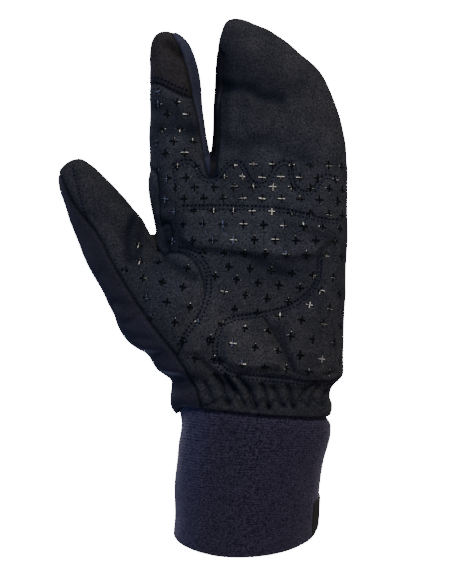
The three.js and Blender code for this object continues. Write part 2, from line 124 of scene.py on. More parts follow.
def finishMaterial(tree, shader):
    addNode(tree, "ShaderNodeOutputMaterial", links={"Surface": shader.outputs[0]})


def brushedSuede(name, looks):
    # microfibre suede, brushed: dull short nap with fine pilling, darker at random where it was stroked flat;
    # painted shade in folds and creases and painted light on pad crowns come from a mesh attribute
    material, tree = newMaterial(name)
    place = addNode(tree, "ShaderNodeTexCoord").outputs["Object"]
    nap = addNode(
        tree, "ShaderNodeTexNoise", {"Scale": 1 / (looks["napMm"] * mm), "Detail": 4.0, "Roughness": 0.7},
        {"Vector": place},
    )
    stroked = addNode(
        tree, "ShaderNodeTexNoise",
        {"Scale": 1 / (looks["strokedMm"] * mm), "Detail": 4.0, "Roughness": 0.6}, {"Vector": place},
    )
    napTone = addNode(tree, "ShaderNodeValToRGB", links={"Fac": nap.outputs["Fac"]})
    napTone.color_ramp.elements[0].position = 0.36
    napTone.color_ramp.elements[0].color = srgb(looks["darkNap"])
    napTone.color_ramp.elements[1].position = 0.66
    napTone.color_ramp.elements[1].color = srgb(looks["lightNap"])
    # painted light and shade: below 1 the nap mixes towards the painted shade colour, above 1 it is lightened
    paintedLightShadeFac = addNode(tree, "ShaderNodeAttribute", attribute_name="paintedLightShade").outputs["Fac"]
    strokedTone = addNode(
        tree, "ShaderNodeMapRange",
        {"From Min": 0.3, "From Max": 0.7, "To Min": looks["strokedDark"], "To Max": looks["strokedLight"]},
        {"Value": stroked.outputs["Fac"]},
    )
    napAndPaintedLight = addNode(
        tree, "ShaderNodeMath", {}, {0: strokedTone.outputs["Result"], 1: paintedLightShadeFac}, operation="MULTIPLY",
    )
    # painted bluish shade: a blue multiplier in the zones given by the mesh attribute
    paintedBlueShadeFac = addNode(tree, "ShaderNodeAttribute", attribute_name="paintedBlueShade").outputs["Fac"]
    paintedBlueShaded = addNode(
        tree, "ShaderNodeMix", {7: looks["paintedBlueShadeTint"]}, {0: paintedBlueShadeFac, 6: napTone.outputs["Color"]},
        data_type="RGBA", blend_type="MULTIPLY",
    )
    tone = addNode(
        tree, "ShaderNodeMix", {6: srgb(looks["paintedShadeTone"])}, {0: napAndPaintedLight.outputs[0], 7: paintedBlueShaded.outputs[2]},
        data_type="RGBA", clamp_factor=False,
    )
    bump = addNode(
        tree, "ShaderNodeBump", {"Strength": looks["bump"], "Distance": 0.3 * mm},
        {"Height": nap.outputs["Fac"]},
    )
    shader = addNode(tree, "ShaderNodeBsdfPrincipled", {
        "Roughness": 0.95, "Sheen Weight": looks["sheen"], "Sheen Roughness": 0.3, "Specular IOR Level": 0.02,
    }, {"Base Color": tone.outputs[2], "Normal": bump.outputs["Normal"]})
    shader.inputs["Sheen Tint"].default_value = srgb(looks["bloom"])
    finishMaterial(tree, shader)
    return material


def wovenSoftShell(name, looks):
    # stretch polyester soft shell: tight plain weave, smooth matte face with a faint blue gloss on the folds
    material, tree = newMaterial(name)
    place = addNode(tree, "ShaderNodeTexCoord").outputs["Object"]
    # a wave texture turns by 20 radians a unit
    threads = {"Scale": 1 / (looks["threadMm"] * mm) / 20 * math.pi * 2, "Distortion": 0.6, "Detail": 1.0}
    waves = []
    for direction in ("X", "Y"):
        bands = {"wave_type": "BANDS", "bands_direction": direction}
        waves.append(addNode(tree, "ShaderNodeTexWave", threads, {"Vector": place}, **bands))
    weave = addNode(
        tree, "ShaderNodeMath", {}, {0: waves[0].outputs["Fac"], 1: waves[1].outputs["Fac"]},
        operation="MULTIPLY",
    )
    fleck = addNode(tree, "ShaderNodeTexNoise", {"Scale": 1 / (1.1 * mm), "Detail": 3.0}, {"Vector": place})
    tone = addNode(tree, "ShaderNodeValToRGB", links={"Fac": fleck.outputs["Fac"]})
    tone.color_ramp.elements[0].position = 0.3
    tone.color_ramp.elements[0].color = srgb(looks["darkTone"])
    tone.color_ramp.elements[1].position = 0.75
    tone.color_ramp.elements[1].color = srgb(looks["lightTone"])
    # painted light and shade from the mesh attribute scales the woven colour
    paintedLightShadeFac = addNode(tree, "ShaderNodeAttribute", attribute_name="paintedLightShade").outputs["Fac"]
    shade = addNode(
        tree, "ShaderNodeVectorMath", {}, {0: tone.outputs["Color"], "Scale": paintedLightShadeFac}, operation="SCALE",
    )
    bump = addNode(
        tree, "ShaderNodeBump", {"Strength": 0.25, "Distance": 0.15 * mm}, {"Height": weave.outputs[0]},
    )
    shader = addNode(tree, "ShaderNodeBsdfPrincipled", {
        "Roughness": looks["roughness"], "Sheen Weight": looks["sheen"],
        "Sheen Roughness": 0.45, "Specular IOR Level": 0.04,
    }, {"Base Color": shade.outputs["Vector"], "Normal": bump.outputs["Normal"]})
    shader.inputs["Sheen Tint"].default_value = srgb(looks["bloom"])
    finishMaterial(tree, shader)
    return material


def stretchKnit(name, looks):
    # doubled jersey of nylon and elastane: even courses of small loops, melange yarn, soft and matte
    material, tree = newMaterial(name)
    around = addNode(tree, "ShaderNodeUVMap", uv_map="knitMm").outputs["UV"]
    split = addNode(tree, "ShaderNodeSeparateXYZ", links={"Vector": around})
    wale = addNode(
        tree, "ShaderNodeMath", {1: 1 / looks["waleMm"]}, {0: split.outputs["X"]}, operation="MULTIPLY",
    )
    leg = addNode(tree, "ShaderNodeMath", {1: 1.0}, {0: wale.outputs[0]}, operation="PINGPONG")
    # the courses run straight at the thumb's side and break up into legs towards the middle
    straightTo, brokenFrom = looks["legsMm"]
    pulled = addNode(tree, "ShaderNodeMapRange", {
        "From Min": straightTo, "From Max": brokenFrom, "To Min": 0.08 * looks["courseMm"],
        "To Max": 0.5 * looks["courseMm"],
    }, {"Value": split.outputs["X"]})
    slant = addNode(
        tree, "ShaderNodeMath", {}, {0: leg.outputs[0], 1: pulled.outputs["Result"]}, operation="MULTIPLY",
    )
    along = addNode(tree, "ShaderNodeMath", {}, {0: split.outputs["Y"], 1: slant.outputs[0]}, operation="ADD")
    course = addNode(
        tree, "ShaderNodeMath", {1: 2 * math.pi / looks["courseMm"]}, {0: along.outputs[0]},
        operation="MULTIPLY",
    )
    loops = addNode(tree, "ShaderNodeMath", {}, {0: course.outputs[0]}, operation="SINE")
    cell = addNode(
        tree, "ShaderNodeVectorMath", {1: (looks["flecksMm"], looks["flecksMm"], 1.0)}, {0: around},
        operation="SNAP",
    )
    fleck = addNode(
        tree, "ShaderNodeTexWhiteNoise", links={"Vector": cell.outputs["Vector"]}, noise_dimensions="3D",
    )
    cloud = addNode(
        tree, "ShaderNodeTexNoise", {"Scale": 1 / looks["cloudMm"], "Detail": 2.0}, {"Vector": around},
    )
    level = 0.5 - looks["cloudShare"] / 2 - looks["fleckShare"] / 2
    soft = addNode(tree, "ShaderNodeMapRange", {
        "From Min": -1.0, "From Max": 1.0, "To Min": level - looks["courseShare"],
        "To Max": level + looks["courseShare"],
    }, {"Value": loops.outputs[0]})
    melange = addNode(
        tree, "ShaderNodeMath", {1: looks["cloudShare"]},
        {0: cloud.outputs["Fac"], 2: soft.outputs["Result"]}, operation="MULTIPLY_ADD",
    )
    mixed = addNode(
        tree, "ShaderNodeMath", {1: looks["fleckShare"]}, {0: fleck.outputs["Value"], 2: melange.outputs[0]},
        operation="MULTIPLY_ADD",
    )
    tone = addNode(tree, "ShaderNodeValToRGB", links={"Fac": mixed.outputs[0]})
    tone.color_ramp.elements[0].position = 0.1
    tone.color_ramp.elements[0].color = srgb(looks["darkYarn"])
    tone.color_ramp.elements[1].position = 0.9
    tone.color_ramp.elements[1].color = srgb(looks["lightYarn"])
    bloom = addNode(
        tree, "ShaderNodeMapRange", {"To Min": 0.15 * looks["sheen"], "To Max": 1.85 * looks["sheen"]},
        {"Value": mixed.outputs[0]},
    )
    # painted light: the thumb's side of the cuff gets more sheen and a lighter, bluer colour, standing for the
    # bluish fill lamp's light on that side
    fullSideLightTo, noSideLightFrom = looks["paintedSideLightMm"]
    paintedSideLight = addNode(
        tree, "ShaderNodeMapRange",
        {"From Min": fullSideLightTo, "From Max": noSideLightFrom, "To Min": 1.0, "To Max": 0.0},
        {"Value": split.outputs["X"]},
    )
    extra = addNode(
        tree, "ShaderNodeMath", {1: looks["paintedSideSheen"] - 1, 2: 1.0}, {0: paintedSideLight.outputs["Result"]},
        operation="MULTIPLY_ADD",
    )
    fuzz = addNode(
        tree, "ShaderNodeMath", {}, {0: bloom.outputs["Result"], 1: extra.outputs[0]}, operation="MULTIPLY",
    )
    gain = addNode(
        tree, "ShaderNodeVectorMath", {0: [share - 1 for share in looks["paintedSideLightTint"]]},
        {"Scale": paintedSideLight.outputs["Result"]}, operation="SCALE",
    )
    yarn = addNode(
        tree, "ShaderNodeVectorMath", {},
        {0: gain.outputs["Vector"], 1: tone.outputs["Color"], 2: tone.outputs["Color"]},
        operation="MULTIPLY_ADD",
    )
    bump = addNode(
        tree, "ShaderNodeBump", {"Strength": 0.25, "Distance": 0.2 * mm}, {"Height": mixed.outputs[0]},
    )
    shader = addNode(tree, "ShaderNodeBsdfPrincipled", {
        "Roughness": 0.9, "Sheen Roughness": 0.5, "Specular IOR Level": 0.02,
    }, {
        "Base Color": yarn.outputs["Vector"], "Sheen Weight": fuzz.outputs[0],
        "Normal": bump.outputs["Normal"],
    })
    shader.inputs["Sheen Tint"].default_value = srgb(looks["bloom"])
    finishMaterial(tree, shader)
    return material


def plainFinish(name, tint, roughness, grainMm, bumpStrength, sheen=0.0, specular=0.5, ior=1.5):
    material, tree = newMaterial(name)
    place = addNode(tree, "ShaderNodeTexCoord").outputs["Object"]
    grain = addNode(
        tree, "ShaderNodeTexNoise", {"Scale": 1 / (grainMm * mm), "Detail": 2.0}, {"Vector": place},
    )
    shade = addNode(
        tree, "ShaderNodeMapRange", {"From Min": 0.3, "From Max": 0.7, "To Min": 0.82, "To Max": 1.18},
        {"Value": grain.outputs["Fac"]},
    )
    tone = addNode(
        tree, "ShaderNodeVectorMath", {0: srgb(tint)[:3]}, {"Scale": shade.outputs["Result"]},
        operation="SCALE",
    )
    bump = addNode(
        tree, "ShaderNodeBump", {"Strength": bumpStrength, "Distance": 0.1 * mm},
        {"Height": grain.outputs["Fac"]},
    )
    shader = addNode(tree, "ShaderNodeBsdfPrincipled", {
        "Roughness": roughness, "Sheen Weight": sheen, "Specular IOR Level": specular, "IOR": ior,
    }, {"Base Color": tone.outputs["Vector"], "Normal": bump.outputs["Normal"]})
    finishMaterial(tree, shader)
    return material


palmLooks = {
    # the darkest tone is the colour of painted shade, and the blue multiplier tints the painted bluish shade
    "napMm": 0.8, "strokedMm": 10.0, "darkNap": "#0c0e13", "lightNap": "#2b2b2e", "paintedShadeTone": "#04070f",
    "paintedBlueShadeTint": (0.96, 1.0, 1.12, 1.0), "strokedDark": 0.7, "strokedLight": 1.22,
    "bump": 0.6, "sheen": 0.08, "bloom": "#9aa0b4",
}
palmSuede = brushedSuede("brushedMicrofibreSuede", palmLooks)
tipSuede = brushedSuede("brushedMicrofibreSuedeTip", {
    **palmLooks, "darkNap": "#121112", "lightNap": "#262425", "strokedMm": 9.0, "paintedShadeTone": "#060606",
})
shellLooks = {
    "threadMm": 0.5, "darkTone": "#100f15", "lightTone": "#1d1c27",
    "roughness": 0.75, "sheen": 0.28, "bloom": "#9a9db8",
}
softShell = wovenSoftShell("wovenPolyesterSoftShell", shellLooks)
forkShell = wovenSoftShell("wovenPolyesterSoftShellFork", {
    **shellLooks, "threadMm": 0.4, "darkTone": "#191a26", "lightTone": "#252736",
    "roughness": 0.6, "sheen": 0.02,
})
cuffKnit = stretchKnit("nylonJerseyKnit", {
    # flecks stand for loops too fine to show, and are as coarse as they need to be
    "courseMm": 1.2, "waleMm": 0.56, "legsMm": (12.0, 40.0), "courseShare": 0.14,
    "flecksMm": 0.33, "fleckShare": 0.85, "cloudMm": 3.5, "cloudShare": 0.1,
    "darkYarn": "#03020d", "lightYarn": "#24212d", "sheen": 0.3, "bloom": "#a09bb1",
    # painted light on the thumb's side: its reach, its sheen boost and its tint
    "paintedSideLightMm": (14.0, 38.0), "paintedSideSheen": 1.47, "paintedSideLightTint": (1.26, 1.5, 1.8),
})
# printed silicone: poured, so glossy and slightly domed
gripSilicone = plainFinish("pouredSilicone", "#010102", 0.15, 1.5, 0.1, specular=0.34, ior=1.41)
# bonded polyester sewing thread
sewingThread = plainFinish("bondedPolyesterThread", "#010316", 0.5, 0.3, 0.4, specular=0.03)
# woven satin ribbon
tagRibbon = plainFinish("wovenSatinRibbon", "#1c1b1b", 0.6, 0.4, 0.5, specular=0.04)
# brushed polyester fleece, seen only through the cuff
liningFleece = plainFinish("brushedPolyesterFleece", "#15161b", 0.95, 0.7, 0.8, sheen=0.1, specular=0.1)
# translucent white sweep, lit evenly from below
studioPaper = plainFinish("translucentAcrylicSweep", "#f4f4f2", 0.9, 2.0, 0.0, specular=0.1)
glowing = next(node for node in studioPaper.node_tree.nodes if node.type == "BSDF_PRINCIPLED")
glowing.inputs["Emission Color"].default_value = srgb("#ffffff")
glowing.inputs["Emission Strength"].default_value = 16.0
print("materials ready")


# shapes in plain numbers

def smoothColumns(rows, along):
    # cubic pieces through the rows that never overshoot
    table = np.array(rows, float)
    t = table[:, 0]
    along = np.asarray(along, float)
    k = np.clip(np.searchsorted(t, along, side="right") - 1, 0, len(t) - 2)
    w = (t[1:] - t[:-1])[k]
    u = np.clip((along - t[k]) / w, 0, 1)
    columns = []
    for v in table[:, 1:].T:
        step = np.diff(v) / np.diff(t)
        before, after = step[:-1], step[1:]
        total = np.where(before + after == 0, 1, before + after)
        both = np.where(before * after > 0, 2 * before * after / total, 0)
        slope = np.concatenate(([step[0]], both, [step[-1]]))
        lean = slope[k] * u * (1 - u) ** 2 - slope[k + 1] * u * u * (1 - u)
        columns.append(v[k] * (1 + 2 * u) * (1 - u) ** 2 + v[k + 1] * u * u * (3 - 2 * u) + w * lean)
    return np.array(columns).T


def smoothStep(low, high, value):
    u = np.clip((value - low) / (high - low), 0, 1)
    return u * u * (3 - 2 * u)


sectionShape = {"topPower": 2 / 2.45, "floorPower": 2 / 3.0, "widest": 0.45}


def ringPoints(section, angles, inset=0.0):
    # section rows are left, right, floor, crown in mm; an angle of 0 points right and pi / 2 up
    left, right, floor, crown = [section[:, i:i + 1] for i in range(4)]
    left, right, floor, crown = left + inset, right - inset, floor + inset, crown - inset
    widest = floor + (crown - floor) * sectionShape["widest"]
    c, s = np.cos(angles)[None, :], np.sin(angles)[None, :]
    power = np.where(s >= 0, sectionShape["topPower"], sectionShape["floorPower"])
    x = (left + right) / 2 + (right - left) / 2 * np.sign(c) * np.abs(c) ** power
    z = widest + np.where(s >= 0, crown - widest, widest - floor) * np.sign(s) * np.abs(s) ** power
    return x, np.maximum(z, inset)


def loftFaces(ringCount, columns, closed=True, first=0):
    i, j = np.meshgrid(np.arange(columns if closed else columns - 1), np.arange(ringCount - 1))
    a = first + j * columns + i
    b = first + j * columns + (i + 1) % columns
    return np.stack([a, b, b + columns, a + columns], -1).reshape(-1, 4)


def makeObject(name, points, faces, material=None, smooth=True):
    mesh = bpy.data.meshes.new(name)
    mesh.from_pydata(((points + hemPoint) * mm).tolist(), [], [list(map(int, f)) for f in faces])
    mesh.update()
    if smooth:
        mesh.polygons.foreach_set("use_smooth", np.ones(len(mesh.polygons), bool))
    made = bpy.data.objects.new(name, mesh)
    sceneRoot.objects.link(made)
    if material:
        mesh.materials.append(material)
    return made


def meshArrays(made):
    evaluated = made.evaluated_get(bpy.context.evaluated_depsgraph_get())
    mesh = evaluated.to_mesh()
    points = np.zeros(len(mesh.vertices) * 3)
    mesh.vertices.foreach_get("co", points)
    mesh.calc_loop_triangles()
    corners = np.zeros(len(mesh.loop_triangles) * 3, int)
    mesh.loop_triangles.foreach_get("vertices", corners)
    evaluated.to_mesh_clear()
    return points.reshape(-1, 3) / mm - hemPoint, corners.reshape(-1, 3)


# the mitt's body: hand, index stall and thumb stall

handForm = {"length": 216.0, "width": 108.0, "thickness": 42.0, "at": (0.0, 0.0), "turn": 0.0, "rows": [
    # along, left, right, floor, crown
    (0.0, -0.376, 0.402, 0.024, 0.985), (0.01, -0.396, 0.41, 0.018, 0.995), (0.026, -0.405, 0.412, 0.01, 1.0),
    (0.041, -0.405, 0.4, 0.0, 0.988), (0.061, -0.4, 0.405, 0.0, 0.976), (0.083, -0.396, 0.438, -0.012, 1.0),
    (0.097, -0.433, 0.466, -0.02, 1.018), (0.11, -0.468, 0.469, -0.03, 1.022),
    (0.131, -0.494, 0.468, -0.036, 1.024), (0.152, -0.521, 0.467, -0.036, 1.024),
    (0.164, -0.563, 0.467, -0.036, 1.022), (0.179, -0.611, 0.469, -0.036, 1.016),
    (0.199, -0.645, 0.47, -0.036, 1.01), (0.234, -0.677, 0.474, -0.036, 1.0),
    (0.285, -0.698, 0.479, -0.036, 0.976), (0.331, -0.652, 0.484, -0.036, 0.952),
    (0.372, -0.56, 0.486, -0.036, 0.94), (0.407, -0.484, 0.489, -0.036, 0.929),
    (0.438, -0.476, 0.489, -0.036, 0.929), (0.484, -0.486, 0.489, -0.036, 0.917),
    (0.527, -0.502, 0.491, -0.036, 0.893), (0.565, -0.514, 0.491, -0.036, 0.857),
    (0.596, -0.516, 0.494, -0.024, 0.824), (0.612, -0.48, 0.494, -0.024, 0.812),
    (0.626, -0.36, 0.494, -0.024, 0.798), (0.64, -0.225, 0.491, -0.012, 0.786),
    (0.662, -0.199, 0.489, -0.012, 0.762), (0.703, -0.191, 0.476, 0.0, 0.738),
    (0.749, -0.186, 0.456, 0.012, 0.726), (0.789, -0.183, 0.428, 0.036, 0.714),
    (0.83, -0.178, 0.392, 0.06, 0.702), (0.871, -0.173, 0.341, 0.095, 0.679),
    (0.912, -0.168, 0.255, 0.131, 0.655), (0.942, -0.158, 0.183, 0.167, 0.631),
    (0.968, -0.145, 0.107, 0.202, 0.595), (0.985, -0.132, 0.031, 0.25, 0.548),
    (0.995, -0.118, -0.018, 0.29, 0.51), (1.0, -0.094, -0.048, 0.345, 0.455),
]}
indexForm = {"length": 130.0, "width": 29.0, "thickness": 27.0, "at": (-38.45, 79.27), "turn": 0.0, "rows": [
    (0.0, -0.341, 0.379, 0.333, 0.95), (0.025, -0.398, 0.474, 0.222, 1.08),
    (0.076, -0.427, 0.531, 0.111, 1.148), (0.14, -0.446, 0.588, 0.037, 1.167),
    (0.267, -0.512, 0.607, -0.037, 1.185), (0.372, -0.578, 0.588, -0.037, 1.175),
    (0.432, -0.578, 0.559, -0.019, 1.16), (0.499, -0.578, 0.541, 0.0, 1.13),
    (0.567, -0.588, 0.493, 0.019, 1.093), (0.635, -0.578, 0.446, 0.037, 1.056),
    (0.702, -0.569, 0.408, 0.056, 1.037), (0.77, -0.569, 0.389, 0.093, 1.019),
    (0.838, -0.569, 0.341, 0.13, 1.0), (0.897, -0.578, 0.275, 0.167, 0.981),
    (0.939, -0.559, 0.199, 0.204, 0.963), (0.965, -0.522, 0.104, 0.259, 0.926),
    (0.985, -0.455, -0.009, 0.333, 0.852), (1.0, -0.31, -0.15, 0.5, 0.68),
]}
thumbForm = {"length": 100.0, "width": 38.0, "thickness": 32.0, "at": (-48.6, 51.97), "turn": 31.2, "rows": [
    (0.0, -0.37, 0.2, 0.28, 0.9), (0.037, -0.492, 0.318, 0.125, 1.062), (0.103, -0.557, 0.391, 0.0, 1.15),
    (0.203, -0.543, 0.434, -0.031, 1.141), (0.312, -0.521, 0.449, -0.031, 1.109),
    (0.417, -0.521, 0.478, -0.031, 1.062), (0.516, -0.499, 0.492, -0.016, 1.016),
    (0.615, -0.453, 0.449, 0.009, 0.969), (0.708, -0.408, 0.413, 0.037, 0.922),
    (0.802, -0.355, 0.362, 0.078, 0.875), (0.89, -0.304, 0.304, 0.125, 0.812),
    (0.945, -0.24, 0.246, 0.188, 0.75), (0.98, -0.175, 0.19, 0.26, 0.67), (1.0, -0.06, 0.09, 0.38, 0.54),
]}
skin = {
    "voxelMm": 0.8, "quickVoxelMm": 1.2, "relaxRounds": 8, "turnedUnderMm": 12.0, "spareMm": 6,
    "ringColumns": 120, "rings": 110, "tipRings": 26, "tipFrom": 0.92, "tipShare": 0.08,
}


def formSections(form, along):
    scale = np.array([form["width"], form["width"], form["thickness"], form["thickness"]])
    return smoothColumns(form["rows"], along) * scale


def formSolid(form, startMm=0.0):
    tip = np.sin(np.linspace(0, math.pi / 2, skin["tipRings"])[1:])
    along = np.concatenate([
        np.linspace(startMm / form["length"], skin["tipFrom"], skin["rings"]),
        skin["tipFrom"] + skin["tipShare"] * tip,
    ])
    angles = -np.arange(skin["ringColumns"]) / skin["ringColumns"] * 2 * math.pi + math.pi
    x, z = ringPoints(formSections(form, along), np.arctan2(np.sin(angles), np.cos(angles)))
    y = np.repeat(along[:, None] * form["length"], skin["ringColumns"], 1)
    turn = math.radians(form["turn"])
    across = x * math.cos(turn) - y * math.sin(turn) + form["at"][0]
    forward = x * math.sin(turn) + y * math.cos(turn) + form["at"][1]
    points = np.stack([across, forward, z], -1).reshape(-1, 3)
    rings = len(along)
    faces = loftFaces(rings, skin["ringColumns"]).tolist()
    last = (rings - 1) * skin["ringColumns"]
    faces.append(list(range(skin["ringColumns"]))[::-1])
    faces.append(list(range(last, last + skin["ringColumns"])))
    return points, faces


def weldedSkin(voxel):
    # one skin round the three solids, as the sewn mitt has
    points, faces, count = [], [], 0
    for form, start in (
        (handForm, -skin["turnedUnderMm"] - skin["spareMm"]), (indexForm, 0.0), (thumbForm, 0.0),
    ):
        p, f = formSolid(form, start)
        points.append(p)
        faces += [[i + count for i in face] for face in f]
        count += len(p)
    raw = makeObject("rawSkin", np.concatenate(points), faces)
    remesh = raw.modifiers.new("weld", "REMESH")
    remesh.mode = "VOXEL"
    remesh.voxel_size = voxel * mm
    made = meshArrays(raw)
    bpy.data.objects.remove(raw)
    return made


def edgesOf(tris):
    edges = np.sort(np.concatenate([tris[:, [0, 1]], tris[:, [1, 2]], tris[:, [2, 0]]]), axis=1)
    return np.unique(edges, axis=0)


def relax(points, tris, rounds, pull=0.5, push=-0.53):
    edges = edgesOf(tris)
    both = np.concatenate([edges, edges[:, ::-1]])
    count = np.maximum(np.bincount(both[:, 0], minlength=len(points)), 1)
    for _ in range(rounds):
        for amount in (pull, push):
            total = [
                np.bincount(both[:, 0], weights=points[both[:, 1], k], minlength=len(points))
                for k in range(3)
            ]
            mean = np.stack(total, 1) / count[:, None]
            points = points + amount * (mean - points)
    return points


def vertexNormals(points, tris):
    n = np.cross(points[tris[:, 1]] - points[tris[:, 0]], points[tris[:, 2]] - points[tris[:, 0]])
    total = [
        np.bincount(tris.ravel(), weights=np.repeat(n[:, k], 3), minlength=len(points)) for k in range(3)
    ]
    total = np.stack(total, 1)
    return total / np.maximum(np.linalg.norm(total, axis=1, keepdims=True), 1e-12)


bow = {
    "crestMm": (18, 34), "hemLift": 3.9, "hemTilt": 0.085, "hemReach": 30,
    "rimFrom": 15, "rimTo": 69, "rimMiddle": -6.9, "rimHalf": 40.5, "rimCurve": 6.3, "rimDrop": 2.1,
}


def bowRise(x, y, z):
    # the hem's crest draws up, more on the thumb's side, and the rim's crest hangs lower than its sides
    crest = smoothStep(*bow["crestMm"], z)
    nearHem = 1 - smoothStep(0, bow["hemReach"], np.abs(y))
    sideways = (x - bow["rimMiddle"]) / bow["rimHalf"]
    nearRim = smoothStep(bow["rimFrom"], bow["rimTo"], -y)
    lift = np.maximum(0, bow["hemLift"] - bow["hemTilt"] * x)
    return lift * crest * nearHem + (bow["rimCurve"] * sideways ** 2 - bow["rimDrop"]) * nearRim


def bowed(points):
    moved = np.array(points, float)
    moved[:, 1] += bowRise(moved[:, 0], moved[:, 1], moved[:, 2])
    return moved


voxel = skin["voxelMm"]
points, tris = weldedSkin(voxel)
points = relax(points, tris, skin["relaxRounds"])
print("skin welded:", len(points), "points")


# where the panels meet, as seen from above

def pathDistance(x, y, path, closed=False):
    corners = np.array(path, float)
    if closed:
        corners = np.concatenate([corners, corners[:1]])
    best = np.full(len(x), 1e9)
    for (ax, ay), (bx, by) in zip(corners[:-1], corners[1:]):
        dx, dy = bx - ax, by - ay
        t = np.clip(((x - ax) * dx + (y - ay) * dy) / (dx * dx + dy * dy + 1e-12), 0, 1)
        best = np.minimum(best, np.hypot(x - ax - t * dx, y - ay - t * dy))
    return best


def insideDistance(x, y, outline):
    # how far inside an outline a point is, negative outside
    corners = np.array(outline, float)
    within = np.zeros(len(x), bool)
    for (ax, ay), (bx, by) in zip(corners, np.roll(corners, -1, axis=0)):
        crosses = (ay > y) != (by > y)
        within ^= crosses & (x < (bx - ax) * (y - ay) / (by - ay + 1e-12) + ax)
    return np.where(within, 1, -1) * pathDistance(x, y, outline, closed=True)


sideSeam = [
    (-105.6, 132.0), (-102.3, 127.4), (-96.1, 115.0), (-89.7, 106.6), (-83.4, 99.5), (-78.4, 91.9),
    (-74.5, 83.9), (-70.1, 76.0), (-64.1, 66.5), (-55.1, 52.9), (-47.6, 43.2), (-39.8, 33.6),
]
wristSeam = [
    (-39.8, 33.6), (-35.1, 26.3), (-31.0, 18.8), (-28.4, 14.7), (-26.8, 8.6), (-26.2, 3.4), (-26.0, -30.0),
]
thumbArc = [
    (-38.6, 32.6), (-35.0, 41.6), (-31.8, 46.8), (-28.2, 51.5), (-26.2, 57.7), (-24.4, 64.9), (-24.6, 71.7),
    (-27.3, 78.5), (-31.0, 83.8), (-35.8, 86.5), (-41.8, 87.7), (-46.3, 87.3),
]
panels = {
    # node: outline and the height above which it covers the wall
    "web_strip": ([
        (-56.0, 133.6), (-53.0, 132.8), (-50.6, 129.5), (-49.6, 124.0), (-49.2, 118.0), (-48.9, 107.4),
        (-48.1, 101.4), (-45.8, 103.4), (-43.5, 102.2), (-42.1, 97.8), (-42.4, 92.0), (-44.1, 87.8),
        (-46.3, 86.2), (-50.5, 89.0), (-53.2, 94.0), (-55.0, 104.0), (-57.0, 113.0), (-60.0, 125.0),
        (-60.0, 135.0),
    ], 13.0),
    "fork_panel": ([
        (-44.0, 212.0), (-41.5, 204.8), (-38.4, 199.4), (-36.5, 193.9), (-34.2, 186.2), (-31.5, 173.1),
        (-28.8, 160.8), (-26.6, 147.7), (-24.6, 134.7), (-23.1, 128.9), (-21.9, 126.7), (-20.1, 128.3),
        (-18.8, 132.1), (-18.0, 138.7), (-17.7, 142.9), (-17.3, 153.5), (-17.0, 170.5), (-16.5, 181.3),
        (-15.4, 194.8), (-17.5, 199.0), (-22.0, 203.0), (-28.0, 215.0),
    ], 8.0),
    "index_tip_cap": ([
        (-62.0, 180.5), (-53.6, 179.7), (-48.8, 178.1), (-44.3, 175.5), (-39.0, 172.7), (-34.7, 171.3),
        (-29.5, 170.9), (-24.0, 171.0), (-24.0, 225.0), (-62.0, 225.0),
    ], 13.0),
    "thumb_face": (sideSeam + thumbArc + [
        (-50.0, 90.0), (-53.5, 93.5), (-56.0, 104.5), (-60.0, 115.0), (-67.0, 124.0), (-78.0, 138.0),
        (-90.0, 146.0), (-112.0, 146.0),
    ], 13.0),
    "palm_panel": (wristSeam[::-1] + [
        (-38.6, 32.6), (-35.0, 41.6), (-38.0, 60.0), (-42.0, 80.0), (-52.0, 92.0), (-63.0, 122.0),
        (-63.0, 224.0), (75.0, 224.0), (75.0, -30.0),
    ], 13.0),
}
skinLabels = ["back_panel"] + list(panels)


def splitAlong(points, tris, labels, value, locked, snapShare=0.3):
    # moves near points onto the line where value is 0 and splits the triangles that it crosses
    edges = edgesOf(tris)
    va, vb = value[edges[:, 0]], value[edges[:, 1]]
    crossing = edges[va * vb < 0]
    va, vb = value[crossing[:, 0]], value[crossing[:, 1]]
    t = va / (va - vb)
    near = np.concatenate([crossing[:, 0], crossing[:, 1]])
    far = np.concatenate([crossing[:, 1], crossing[:, 0]])
    share = np.concatenate([t, 1 - t])
    keep = (share < snapShare) & ~locked[near]
    order = np.argsort(-share[keep])
    near, far, share = near[keep][order], far[keep][order], share[keep][order]
    moved, value = points.copy(), value.copy()
    moved[near] = points[near] + share[:, None] * (points[far] - points[near])
    value[near] = 0
    points = moved
    va, vb = value[edges[:, 0]], value[edges[:, 1]]
    crossing = edges[va * vb < 0]
    va, vb = value[crossing[:, 0]], value[crossing[:, 1]]
    t = (va / (va - vb))[:, None]
    first = len(points)
    key = {}
    for k, (a, b) in enumerate(crossing.tolist()):
        key[(a, b)] = first + k
    points = np.concatenate([points, points[crossing[:, 0]] * (1 - t) + points[crossing[:, 1]] * t])
    value = np.concatenate([value, np.zeros(len(crossing))])
    side = np.sign(value)
    s = side[tris]
    cut = (s.min(1) < 0) & (s.max(1) > 0)
    newTris, newLabels = [], []
    for tri, label in zip(tris[cut].tolist(), labels[cut].tolist()):
        signs = [side[v] for v in tri]
        if 0 in signs:
            z = signs.index(0)
            a, b, c = tri[z], tri[(z + 1) % 3], tri[(z + 2) % 3]
            m = key[(min(b, c), max(b, c))]
            newTris += [(a, b, m), (a, m, c)]
            newLabels += [label] * 2
        else:
            lone = next(i for i in range(3) if signs.count(signs[i]) == 1)
            a, b, c = tri[lone], tri[(lone + 1) % 3], tri[(lone + 2) % 3]
            p, q = key[(min(a, b), max(a, b))], key[(min(a, c), max(a, c))]
            newTris += [(a, p, q), (p, b, c), (p, c, q)]
            newLabels += [label] * 3
    tris = np.concatenate([tris[~cut], np.array(newTris, int).reshape(-1, 3)])
    labels = np.concatenate([labels[~cut], np.array(newLabels, int)])
    locked = np.concatenate([locked, np.zeros(len(crossing), bool)])
    locked[value == 0] = True
    return points, tris, labels, value, locked


